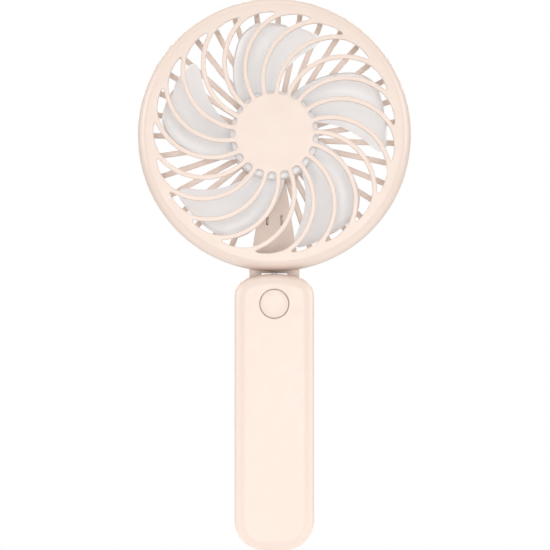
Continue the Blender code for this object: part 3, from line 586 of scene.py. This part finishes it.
def moulded_plastic(name, colour, roughness, grain=0.00025, grain_depth=0.000004, specular=0.4):
    """Satin moulded plastic: faint flow mottling, a fine eroded grain, and gloss that varies a little."""
    surface = Surface(name, roughness)
    cloud = surface.spread(surface.noise(0.03, 3.0), 0.0, 1.0)
    speck = surface.spread(surface.noise(0.0011, 2.0), 0.0, 1.0)
    broad = surface.mix(cloud, scaled(colour, 0.988), scaled(colour, 1.010))
    fine = surface.mix(speck, scaled(colour, 0.990), scaled(colour, 1.006))
    blend = surface.tree.nodes.new("ShaderNodeMix")
    blend.data_type = "RGBA"
    blend.inputs["Factor"].default_value = 0.5
    surface.tree.links.new(broad, blend.inputs[6])
    surface.tree.links.new(fine, blend.inputs[7])
    surface.colour(blend.outputs[2])
    surface.roughness(surface.spread(surface.noise(0.004, 3.0), roughness - 0.03, roughness + 0.04))
    surface.bump(surface.noise(grain, 2.0), grain_depth)
    surface.bump(surface.noise(0.009, 1.0), 0.000012)
    surface.shader.inputs["Specular IOR Level"].default_value = specular
    return surface.material


def brushed_metal(name, colour, roughness, stretch, line=0.0002):
    """Plated or turned metal with fine machining lines and a little staining."""
    surface = Surface(name, roughness, 1.0)
    lines = surface.noise(line, 3.0, stretch)
    stain = surface.spread(surface.noise(0.004, 4.0), 0.0, 1.0)
    surface.colour(surface.mix(stain, scaled(colour, 0.86), scaled(colour, 1.05)))
    surface.roughness(surface.spread(lines, roughness - 0.07, roughness + 0.10))
    surface.bump(lines, 0.000002)
    return surface.material


def copper_winding():
    """Enamelled wire wound turn by turn, with painted shade darkening the grooves between turns."""
    surface = Surface("enamelled_copper", 0.32, 1.0)
    turns = surface.bands(0.00032, "Y")
    # Painted shade: the colour goes dark in the grooves between turns, where the bump sinks.
    copper_with_painted_groove_shade = surface.mix(surface.spread(turns, 0.0, 1.0, 0.1, 0.6), (0.22, 0.07, 0.02), (0.80, 0.36, 0.16))
    surface.colour(copper_with_painted_groove_shade)
    surface.roughness(surface.spread(surface.noise(0.0006, 3.0), 0.24, 0.42))
    surface.bump(turns, 0.00008)
    return surface.material


def laminated_steel():
    """Zinc-grey stampings: thin edge lines along the axis and dull oxide patches."""
    surface = Surface("laminated_steel", 0.45, 1.0)
    sheets = surface.bands(0.00035, "Y", 0.2)
    patches = surface.spread(surface.noise(0.0021, 4.0), 0.0, 1.0)
    surface.colour(surface.mix(patches, (0.33, 0.34, 0.36), (0.50, 0.51, 0.53)))
    surface.roughness(surface.spread(surface.noise(0.0008, 3.0), 0.36, 0.55))
    surface.bump(sheets, 0.00002)
    return surface.material


def ferrite():
    """Dull bonded ferrite with a gritty surface."""
    surface = Surface("bonded_ferrite", 0.65)
    grit = surface.noise(0.00018, 4.0)
    surface.colour(surface.mix(surface.spread(grit, 0.0, 1.0), (0.035, 0.035, 0.038),
                               (0.085, 0.083, 0.085)))
    surface.roughness(surface.spread(surface.noise(0.001, 2.0), 0.55, 0.75))
    surface.bump(grit, 0.00001)
    return surface.material


def circuit_board():
    """Solder mask over copper tracks: the tracks stand slightly proud and read a lighter green."""
    surface = Surface("solder_mask", 0.38)
    tracks = surface.tree.nodes.new("ShaderNodeTexBrick")
    tracks.inputs["Scale"].default_value = 260.0
    tracks.inputs["Mortar Size"].default_value = 0.035
    tracks.inputs["Color1"].default_value = (0.010, 0.085, 0.035, 1.0)
    tracks.inputs["Color2"].default_value = (0.014, 0.105, 0.045, 1.0)
    tracks.inputs["Mortar"].default_value = (0.055, 0.230, 0.100, 1.0)
    turned = surface.tree.nodes.new("ShaderNodeMapping")
    turned.inputs["Rotation"].default_value = (math.pi / 2, 0.0, 0.0)
    surface.link(surface.coordinates, turned, "Vector")
    surface.link(turned.outputs["Vector"], tracks, "Vector")
    surface.colour(tracks.outputs["Color"])
    surface.roughness(surface.spread(surface.noise(0.0009, 2.0), 0.30, 0.46))
    surface.bump(tracks.outputs["Fac"], 0.00003)
    return surface.material


def shrink_wrap():
    """Thin shrunk film: glossy, with slack ripples round the cell."""
    surface = Surface("shrink_wrap", 0.28)
    ripple = surface.noise(0.006, 2.0, (1.0, 1.0, 0.35))
    surface.colour(surface.mix(surface.spread(ripple, 0.0, 1.0), (0.055, 0.150, 0.420),
                               (0.075, 0.190, 0.500)))
    surface.roughness(surface.spread(surface.noise(0.0015, 3.0), 0.20, 0.36))
    surface.bump(ripple, 0.00012)
    return surface.material


def silicone(name, colour):
    """Soft lead insulation: a light bloom over a matt skin."""
    surface = Surface(name, 0.5)
    bloom = surface.spread(surface.noise(0.0016, 3.0), 0.0, 1.0)
    surface.colour(surface.mix(bloom, scaled(colour, 0.82), scaled(colour, 1.15)))
    surface.roughness(surface.spread(surface.noise(0.0007, 2.0), 0.42, 0.60))
    surface.bump(surface.noise(0.0003, 2.0), 0.000006)
    return surface.material


def make_materials():
    pink = (0.690, 0.570, 0.500)
    return {
        "shell_pink": moulded_plastic("blush_plastic", pink, 0.42),
        "blade_grey": moulded_plastic("pale_grey_plastic", (0.900, 0.905, 0.915), 0.34, 0.0003, 0.000002),
        "black_plastic": moulded_plastic("black_plastic", (0.022, 0.022, 0.023), 0.5, 0.0002, 0.000006),
        "steel": brushed_metal("plated_steel", (0.60, 0.60, 0.62), 0.30, (1.0, 0.15, 1.0)),
        "nickel": brushed_metal("satin_nickel", (0.66, 0.63, 0.58), 0.34, (0.2, 1.0, 1.0)),
        "motor_steel": laminated_steel(),
        "copper": copper_winding(),
        "magnet": ferrite(),
        "board_green": circuit_board(),
        "cell_wrap": shrink_wrap(),
        "red_lead": silicone("red_silicone", (0.55, 0.03, 0.025)),
        "black_lead": silicone("black_silicone", (0.025, 0.025, 0.027)),
    }


# ---------------------------------------------------------------- grip

def shell_rows(split, face, fold):
    """Loops of a half shell, from inner face round the seam to outer face. fold is (tongue, groove)."""
    out = 1 if face > split else -1
    seam_break = 0.00012
    tongue_inset, tongue_end = fold
    rows = []
    inner_radius = GRIP_EDGE_RADIUS - WALL
    for inset, depth in edge_steps(inner_radius, 8):
        rows.append((WALL + inset, face - out * (WALL + depth)))
    rows.append((WALL, tongue_end))
    rows.append((tongue_inset, tongue_end))
    rows.append((tongue_inset, split))
    rows.append((seam_break, split))
    rows.append((0.0, split + out * seam_break))
    for inset, depth in edge_steps(GRIP_EDGE_RADIUS, 14)[::-1]:
        rows.append((inset, face - out * depth))
    return [[place("Y", level, point) for point in grip_outline(inset)] for inset, level in rows]


def make_front_shell():
    """Front half of the grip, with a tongue inside the seam and a rounded hole for the button."""
    shell = loft("front_shell", shell_rows(-0.00005, GRIP_FRONT, (0.0009, 0.0009)))
    hole = lipped_cutter(circle(BUTTON_RADIUS + BUTTON_GAP, 96, (0.0, BUTTON_Z)), GRIP_FRONT,
                         GRIP_FRONT + 0.0026, 0.00025)
    finish(cut(shell, hole), "shell_pink", "handle", "handle_front_shell")


def make_rear_shell():
    """Rear half of the grip, with the hinge slot, four screw recesses and the charging port."""
    shell = loft("rear_shell", shell_rows(0.00005, GRIP_BACK, (0.0008, 0.0011)))
    slot = prism("cutter", soften(rectangle((-SLOT_HALF_WIDTH, SLOT_FRONT), (SLOT_HALF_WIDTH, 0.016)),
                                  0.0004),
                 SLOT_FLOOR, 0.058, along="Z", edge=0.0003)
    port = lipped_cutter(slot_outline(0.0048, 0.0019, PORT_Z), GRIP_BACK, GRIP_BACK - 0.0045, 0.0003)
    cutters = [slot, port]
    for x, z in (TOP_SCREW, BOTTOM_SCREW):
        for side in (-1, 1):
            spot = (side * x, z)
            cutters.append(lipped_cutter(circle(0.0022, 48, spot), GRIP_BACK, 0.0110, 0.00025))
            cutters.append(prism("cutter", circle(0.0013, 32, spot), 0.009, 0.0115, edge=0.0001))
    finish(cut(shell, *cutters), "shell_pink", "handle", "handle_rear_shell")


def make_hinge_base():
    """Floor of the hinge slot with its middle knuckle, and the flange that the top screws clamp."""
    half = NECK_HALF_WIDTH + 0.0001
    base = prism("hinge_floor", soften(rectangle((-half, SLOT_FRONT + 0.0002), (half, 0.0122)), 0.0004),
                 SLOT_FLOOR + 0.0002, HINGE_FLOOR, along="Z", edge=0.0002)
    web = prism("web", rectangle((-half + 0.0001, 0.0037), (half - 0.0001, 0.0090)), 0.0383, 0.0413,
                along="Z", edge=0.0002)
    flange = prism("flange", rectangle((-0.0129, 0.0036), (0.0129, 0.0091)), 0.0339, 0.0392, along="Z",
                   edge=0.0003)
    knuckle = prism("knuckle", barrel_outline(-1, 0.0413), -KNUCKLE_HALF_WIDTH, KNUCKLE_HALF_WIDTH,
                    along="X", edge=0.0003)
    join(base, web, flange, knuckle)
    slot = LEAD_SLOT_HALF_WIDTH
    cutters = [
        prism("cutter", circle(PIN_RADIUS + PIN_CLEARANCE, 48, (HINGE_Y, HINGE_Z)), -0.006, 0.006,
              along="X"),
        prism("cutter", soften(rectangle((-slot, 0.0066), (slot, 0.0094)), 0.0006), 0.0323, 0.0533,
              along="Z"),
        prism("cutter", soften(rectangle((-slot, 0.0068), (slot, 0.0135)), 0.0006), 0.0440, 0.0533,
              along="Z"),
    ]
    for side in (-1, 1):
        cutters.append(prism("cutter", circle(0.0013, 32, (side * TOP_SCREW[0], TOP_SCREW[1])), 0.002,
                             0.011))
    finish(cut(base, *cutters), "shell_pink", "handle", "hinge_base")


def make_pins():
    """Hinge pins with chamfered ends, and the spring washers beside the knuckle."""
    for side, name in ((-1, "left"), (1, "right")):
        low, high = sorted((side * 0.002, side * 0.0096))
        chamfer = 0.0002
        pin = lathe(f"tilt_pin_{name}", [
            (0.0, low), (PIN_RADIUS - chamfer, low), (PIN_RADIUS, low + chamfer),
            (PIN_RADIUS, high - chamfer),
            (PIN_RADIUS - chamfer, high), (0.0, high)], 48, (HINGE_Y, HINGE_Z), "X")
        finish(pin, "steel", "handle", f"hinge_pin_{name}")
        low, high = sorted((side * 0.0045, side * 0.0049))
        profile = soften([(0.0041, low), (0.0041, high), (0.0018, high), (0.0018, low)], 0.00008, 3)
        washer = lathe(f"spring_washer_{name}", profile, 64, (HINGE_Y, HINGE_Z), "X", closed=True)
        finish(washer, "nickel", "handle", f"friction_washer_{name}")


def cross_recess(centre, top, out, reach, depth):
    """Tapered cross that a screwdriver fits."""
    arms = []
    for wide, tall in ((reach, reach * 0.24), (reach * 0.24, reach)):
        rows = []
        for level, share in ((top + out * 0.0002, 1.0), (top - out * depth, 0.45)):
            low = (centre[0] - wide * share, centre[1] - tall * share)
            high = (centre[0] + wide * share, centre[1] + tall * share)
            rows.append([place("Y", level, point) for point in rectangle(low, high)])
        arms.append(loft("cutter", rows))
    return join(*arms)


def make_screw(name, centre, head_radius, head_back, head_height, shank_radius, tip, body, node):
    """Pan-headed screw along Y, its head towards +Y, with a cross recess and a rolled thread."""
    flank = shank_radius * 0.82
    pitch = 0.0008
    profile = [
        (0.0, head_back), (head_radius * 0.55, head_back),
        (head_radius * 0.86, head_back - head_height * 0.14),
        (head_radius, head_back - head_height * 0.5), (head_radius, head_back - head_height),
        (shank_radius, head_back - head_height)]
    level = head_back - head_height - pitch
    while level - pitch > tip + 0.001:
        profile += [(flank, level), (shank_radius, level - pitch / 2)]
        level -= pitch
    profile += [(flank, tip + 0.0007), (0.0, tip)]
    screw = lathe(name, profile, 40, centre)
    cut(screw, cross_recess(centre, head_back, 1, head_radius * 0.56, head_height * 0.75))
    finish(screw, "steel", body, node)


def make_shell_screws():
    number = 0
    for x, z in (TOP_SCREW, BOTTOM_SCREW):
        for side in (-1, 1):
            number += 1
            make_screw(f"cover_screw_{number}", (side * x, z), 0.0019, 0.0123, 0.0011, 0.0010, -0.004,
                       "handle", f"shell_screw_{number}")


def make_button():
    """Round push button: a shallow dome with a soft edge, and the flange that keeps it in the shell."""
    profile = [
        (0.0, -0.01335), (0.0025, -0.01332), (0.0042, -0.01322), (BUTTON_RADIUS, -0.0130),
        (BUTTON_RADIUS, -0.0110), (0.0066, -0.0110), (0.0066, -0.0102), (0.0015, -0.0102),
        (0.0015, -0.0095),
        (0.0, -0.0095)]
    radii = [0.0, 0.0008, 0.0008, 0.00035, 0.0, 0.0001, 0.0001, 0.0, 0.0001, 0.0]
    cap = lathe("push_button", soften(profile, radii, 5, closed=False), 96, (0.0, BUTTON_Z))
    finish(cap, "shell_pink", "button", "button_cap")


def make_charge_socket():
    """Metal shell of the charging socket, with its black tongue and two rows of contacts."""
    shell = prism("socket_shell", slot_outline(0.0045, 0.0016, PORT_Z), 0.0052, 0.0122, edge=0.0001)
    mouth = prism("cutter", slot_outline(0.0042, 0.0013, PORT_Z), 0.0066, 0.014, edge=0.0001)
    finish(cut(shell, mouth), "nickel", "handle", "charge_socket")
    tongue = prism("socket_tongue", rectangle((-0.0031, PORT_Z - 0.0003), (0.0031, PORT_Z + 0.0003)),
                   0.0060, 0.0113, edge=0.0001)
    finish(tongue, "black_plastic", "handle")
    contacts = None
    for column in range(8):
        x = (column - 3.5) * 0.0007
        for side in (-1, 1):
            low = PORT_Z + side * 0.00031 - 0.00004
            strip = prism("socket_contacts", rectangle((x - 0.00018, low), (x + 0.00018, low + 0.00008)),
                          0.0070, 0.0109, edge=0.00001)
            contacts = join(contacts, strip) if contacts else strip
    finish(contacts, "copper", "handle")


# ---------------------------------------------------------------- head

def make_front_grille():
    """Ring, 21 curved spokes and plain hub disc. The rim falls away in a quarter ellipse to the seam."""
    inner = HEAD_RADIUS - 0.0018
    depth = SEAM_Y - HEAD_FRONT
    seam_break = 0.00015
    rim = [(HEAD_RADIUS - RIM_REACH * (1 - x), SEAM_Y - seam_break - (depth - seam_break) * y)
           for x, y in arc((0.0, 0.0), 1.0, math.pi / 2, 0.0, 20)]
    rim += [(HEAD_RADIUS - seam_break, SEAM_Y), (inner + seam_break, SEAM_Y), (inner, SEAM_Y - seam_break)]
    rim += soften([(inner, -0.0045), (inner, -0.0060), (0.0500, -0.0090), (0.0490, -0.0112),
                   (0.0484, SPOKE_BACK)],
                  0.0004, 3, closed=False)
    openings = [spoke_opening(spoke) for spoke in range(SPOKE_COUNT)]
    grille = pierced("curved_grille", openings, HEAD_FRONT, SPOKE_BACK, 0.0004, rim, 252)
    finish(grille, "shell_pink", "head", "front_grille")


def make_rear_bar(angle):
    """One bar of the bowl: out along the rear face, round the shoulder, and forward into the wall."""
    middle = (REAR_BAR_BACK + REAR_BAR_FRONT) / 2
    shoulder = arc(SHOULDER_CENTRE, middle - SHOULDER_CENTRE[1], math.pi / 2, 0.0, 10)
    path = [(0.0165, middle), *shoulder, (0.0510, WALL_SLOT_FRONT - 0.0006)]
    half = (REAR_BAR_WIDTH / 2, (REAR_BAR_BACK - REAR_BAR_FRONT) / 2)
    section = soften(rectangle((-half[0], -half[1]), half), 0.00045, 4)
    radial = Vector((math.cos(angle), 0.0, math.sin(angle)))
    sideways = Vector((-math.sin(angle), 0.0, math.cos(angle)))
    rows = []
    for index, (radius, level) in enumerate(path):
        before = Vector(path[max(index - 1, 0)])
        after = Vector(path[min(index + 1, len(path) - 1)])
        along = (after - before).normalized()
        outward = radial * -along.y + Vector((0.0, along.x, 0.0))
        centre = radial * radius + Vector((0.0, level, HEAD_Z))
        rows.append([centre + sideways * across + outward * deep for across, deep in section])
    return loft("bar", rows)


def make_rear_housing():
    """Bowl with bars that wrap round its shoulder, and the spine, neck and two hinge ears moulded on."""
    wall = soften([
        (0.0515, WALL_SLOT_FRONT + 0.0002), (0.0500, WALL_SLOT_FRONT + 0.0002), (0.0505, 0.0),
        (0.0492, -0.0012),
        (0.0492, -0.0055), (0.0504, -0.0055), (0.0504, SEAM_Y + 0.0001),
        (HEAD_RADIUS - 0.0001, SEAM_Y + 0.0001)],
        [0.0005, 0.0005, 0.0006, 0.0003, 0.0001, 0.0001, 0.0001, 0.00015], 5)
    housing = lathe("slotted_rear_bowl", wall, 252, closed=True)
    hub = soften([(0.0, REAR_BAR_BACK), (REAR_HUB_RADIUS, REAR_BAR_BACK),
                  (REAR_HUB_RADIUS, SPINE_FRONT + 0.0001),
                  (0.0161, SPINE_FRONT + 0.0001), (0.0161, REAR_BAR_FRONT), (0.0, REAR_BAR_FRONT)],
                 [0.0, 0.0004, 0.0003, 0.0003, 0.0004, 0.0], 5, closed=False)
    parts = [lathe("hub", hub, 160)]
    for index in range(36):
        angle = math.radians(90) + REAR_BAR_PHASE + index * REAR_BAR_PITCH
        if not 255 < math.degrees(angle) < 285:
            parts.append(make_rear_bar(angle))
    spine = prism("spine", spine_outline(0.0, 0.014, 0.0505), SPINE_FRONT, REAR_FACE - 0.0001, edge=0.0004,
                  centre_z=HEAD_Z)
    section = rectangle((-NECK_HALF_WIDTH, NECK_FRONT), (NECK_HALF_WIDTH, REAR_FACE - 0.0003))
    neck = prism("neck", soften(section, 0.0010),
                 NECK_BOTTOM, NECK_TOP, along="Z", edge=0.0003)
    parts += [spine, neck]
    for side in (-1, 1):
        low, high = sorted((side * EAR_INNER_X, side * (NECK_HALF_WIDTH - 0.0001)))
        parts.append(prism("ear", barrel_outline(1, NECK_BOTTOM + 0.0007), low, high, along="X",
                           edge=0.0003))
    join(housing, *parts)
    duct = prism("cutter", spine_outline(SPINE_WALL, 0.013, 0.0495), SPINE_FRONT + SPINE_WALL, 0.022,
                 edge=0.0001, centre_z=HEAD_Z)
    channel = prism("cutter", rectangle((-0.0022, 0.0066), (0.0022, 0.0183)), 0.050, 0.058, along="Z",
                    edge=0.0001)
    pin_hole = prism("cutter", circle(PIN_RADIUS + PIN_CLEARANCE, 48, (HINGE_Y, HINGE_Z)), -0.012, 0.012,
                     along="X", edge=0.0001)
    cutters = [duct, channel, pin_hole]
    for side in (-1, 1):
        slot = soften(rectangle((side * 0.0028 - 0.0004, -0.0342), (side * 0.0028 + 0.0004, -0.0303)),
                      0.00035, 4)
        cutters.append(prism("cutter", slot, 0.012, 0.0165, edge=0.0001, centre_z=HEAD_Z))
    finish(cut(housing, *cutters), "shell_pink", "head", "rear_housing")


def make_covers():
    """Cover strip over the leads, and the round cap over the motor screws."""
    strip = prism("lead_cover", soften(spine_outline(SPINE_WALL + 0.0002, 0.0133, 0.0492), 0.0006),
                  0.0186, 0.0196, edge=0.0002, centre_z=HEAD_Z)
    for side in (-1, 1):
        hook = rectangle((side * 0.0028 - 0.00025, -0.0338), (side * 0.0028 + 0.00025, -0.0307))
        join(strip, prism("hook", hook, 0.0152, 0.0190, edge=0.0001, centre_z=HEAD_Z))
    finish(strip, "shell_pink", "head", "neck_cover")
    profile = [
        (0.0, 0.0232), (0.0090, 0.02308), (0.0150, 0.0223), (0.0167, 0.0210), (0.0169, 0.0198),
        (0.0156, 0.0198),
        (0.0153, 0.0206), (0.0142, 0.0213), (0.0, 0.0217)]
    radii = [0.0, 0.002, 0.0014, 0.0009, 0.0002, 0.0002, 0.0004, 0.0004, 0.0]
    cap = lathe("round_rear_cap", soften(profile, radii, 6, closed=False), 128)
    finish(cap, "shell_pink", "head", "rear_hub_cap")


def blade_point(radius, across, blade):
    """Point of a blade's middle surface: across runs from -1 at its rear edge to 1 at its front edge."""
    half = BLADE_HALF_ANGLE
    from_corner = radius - (BLADE_TIP_RADIUS - TIP_CORNER)
    if from_corner > 0:
        half -= (TIP_CORNER - math.sqrt(max(TIP_CORNER ** 2 - from_corner ** 2, 0.0))) / radius
    outward = (radius - IMPELLER_HUB_RADIUS) / (BLADE_TIP_RADIUS - IMPELLER_HUB_RADIUS)
    angle = BLADE_START + blade * 2 * math.pi / BLADE_COUNT - BLADE_SWEEP * outward + across * half
    x, z = polar(radius, angle)
    return Vector((x, BLADE_MIDDLE - across * BLADE_HALF_DEPTH, HEAD_Z + z))


def make_blade(blade):
    """One twisted blade with softly rounded edges."""
    root = 0.0158
    sheet = bmesh.new()
    bmesh.ops.create_grid(sheet, x_segments=40, y_segments=24, size=1.0)
    for vertex in sheet.verts:
        outward = 1 - (1 - (vertex.co.x + 1) / 2) ** 1.8
        vertex.co = blade_point(root + (BLADE_TIP_RADIUS - root) * outward, vertex.co.y, blade)
    piece = to_object("blade", sheet)
    thicken = piece.modifiers.new("thickness", "SOLIDIFY")
    thicken.thickness = BLADE_THICKNESS
    thicken.offset = 0.0
    rounding = piece.modifiers.new("edges", "BEVEL")
    rounding.width = BLADE_THICKNESS * 0.4
    rounding.segments = 3
    rounding.limit_method = "ANGLE"
    rounding.angle_limit = math.radians(50)
    return piece


def make_impeller():
    """Hub cup and five swept blades, moulded in one."""
    front = -0.0045
    hub = lathe("five_blade_impeller", soften([
        (IMPELLER_HUB_RADIUS, 0.0135), (IMPELLER_HUB_RADIUS, front), (0.0035, front), (0.0035, -0.0075),
        (0.0013, -0.0075), (0.0013, -0.0032), (0.0152, -0.0032), (0.0152, 0.0135)],
        [0.0002, 0.0014, 0.0003, 0.0003, 0.0001, 0.0001, 0.0006, 0.0002], 6), 144, closed=True)
    join(hub, *[make_blade(blade) for blade in range(BLADE_COUNT)])
    finish(hub, "blade_grey", "rotor", "impeller")


# ---------------------------------------------------------------- carried-over parts

def dress_frame_nodes():
    """Gives every CAD node its slot's material, and softens the edges of those that still show."""
    slots = {part["node"]: part["material_slot"] for part in frame["record"]["subparts"]}
    for name, node in frame["nodes"].items():
        node.data.materials.clear()
        node.data.materials.append(MATERIALS[slots[name]])
        if node.hide_render:
            continue
        if "lead" in name:
            smooth = node.modifiers.new("round insulation", "SUBSURF")
            smooth.levels = 1
            smooth.render_levels = 1
        else:
            edges = node.modifiers.new("broken edges", "BEVEL")
            edges.width = 0.00008
            edges.segments = 2
            edges.limit_method = "ANGLE"
            edges.angle_limit = math.radians(50)


# ---------------------------------------------------------------- studio

def make_floor():
    """Round pale floor under the fan."""
    solid = bmesh.new()
    solid.faces.new(add_loop(solid, [(x, y, FLOOR_Z) for x, y in circle(FLOOR_RADIUS, 128)]))
    floor = to_object("studio_floor", solid)
    surface = Surface("floor_paint", 0.8)
    tone = surface.spread(surface.noise(0.05, 3.0), 0.0, 1.0)
    surface.colour(surface.mix(tone, (0.90, 0.90, 0.90), (0.93, 0.93, 0.93)))
    surface.shader.inputs["Specular IOR Level"].default_value = 0.1
    floor.data.materials.append(surface.material)


def add_softbox(name, location, radius, level):
    """Round softbox aimed at the fan. The level is how bright it makes a white card at the fan."""
    light = bpy.data.lights.new(name, "AREA")
    light.shape = "DISK"
    light.size = 2 * radius
    aim = Vector((0.0, 0.0, 0.06)) - Vector(location)
    light.energy = level * math.pi ** 2 * (aim.length_squared + radius ** 2)
    lamp = bpy.data.objects.new(name, light)
    lamp.location = location
    lamp.rotation_mode = "QUATERNION"
    lamp.rotation_quaternion = aim.to_track_quat("-Z", "Y")
    bpy.context.scene.collection.objects.link(lamp)


def make_lights():
    """White room that glows softly, and large softboxes in front, overhead, behind and at the sides."""
    world = bpy.data.worlds.new("white_room")
    bpy.context.scene.world = world
    world.use_nodes = True
    tree = world.node_tree
    background = tree.nodes["Background"]
    background.inputs["Color"].default_value = (1.0, 1.0, 1.0, 1.0)
    path = tree.nodes.new("ShaderNodeLightPath")
    glow = tree.nodes.new("ShaderNodeMapRange")
    glow.inputs["To Min"].default_value = ROOM_GLOW
    glow.inputs["To Max"].default_value = 1.0
    tree.links.new(path.outputs["Is Camera Ray"], glow.inputs["Value"])
    tree.links.new(glow.outputs["Result"], background.inputs["Strength"])
    for name, location, radius, level in SOFTBOXES:
        add_softbox(name, location, radius, level)


def make_camera():
    data = bpy.data.cameras.new("front_view")
    data.sensor_width = 36.0
    data.lens = data.sensor_width * CAMERA_DISTANCE / VIEW_WIDTH
    data.clip_start = 0.01
    data.clip_end = 50.0
    camera = bpy.data.objects.new("front_view", data)
    camera.location = (CAMERA_X, VIEW_PLANE_Y - CAMERA_DISTANCE, CAMERA_Z)
    camera.rotation_euler = (math.pi / 2, 0.0, 0.0)
    bpy.context.scene.collection.objects.link(camera)
    bpy.context.scene.camera = camera
    bpy.context.scene.view_settings.view_transform = "Standard"


# ---------------------------------------------------------------- assembly

MATERIALS = make_materials()
make_camera()
make_lights()
make_floor()
make_front_shell()
make_rear_shell()
make_hinge_base()
make_pins()
make_shell_screws()
make_button()
make_charge_socket()
make_front_grille()
make_rear_housing()
make_covers()
make_impeller()
dress_frame_nodes()
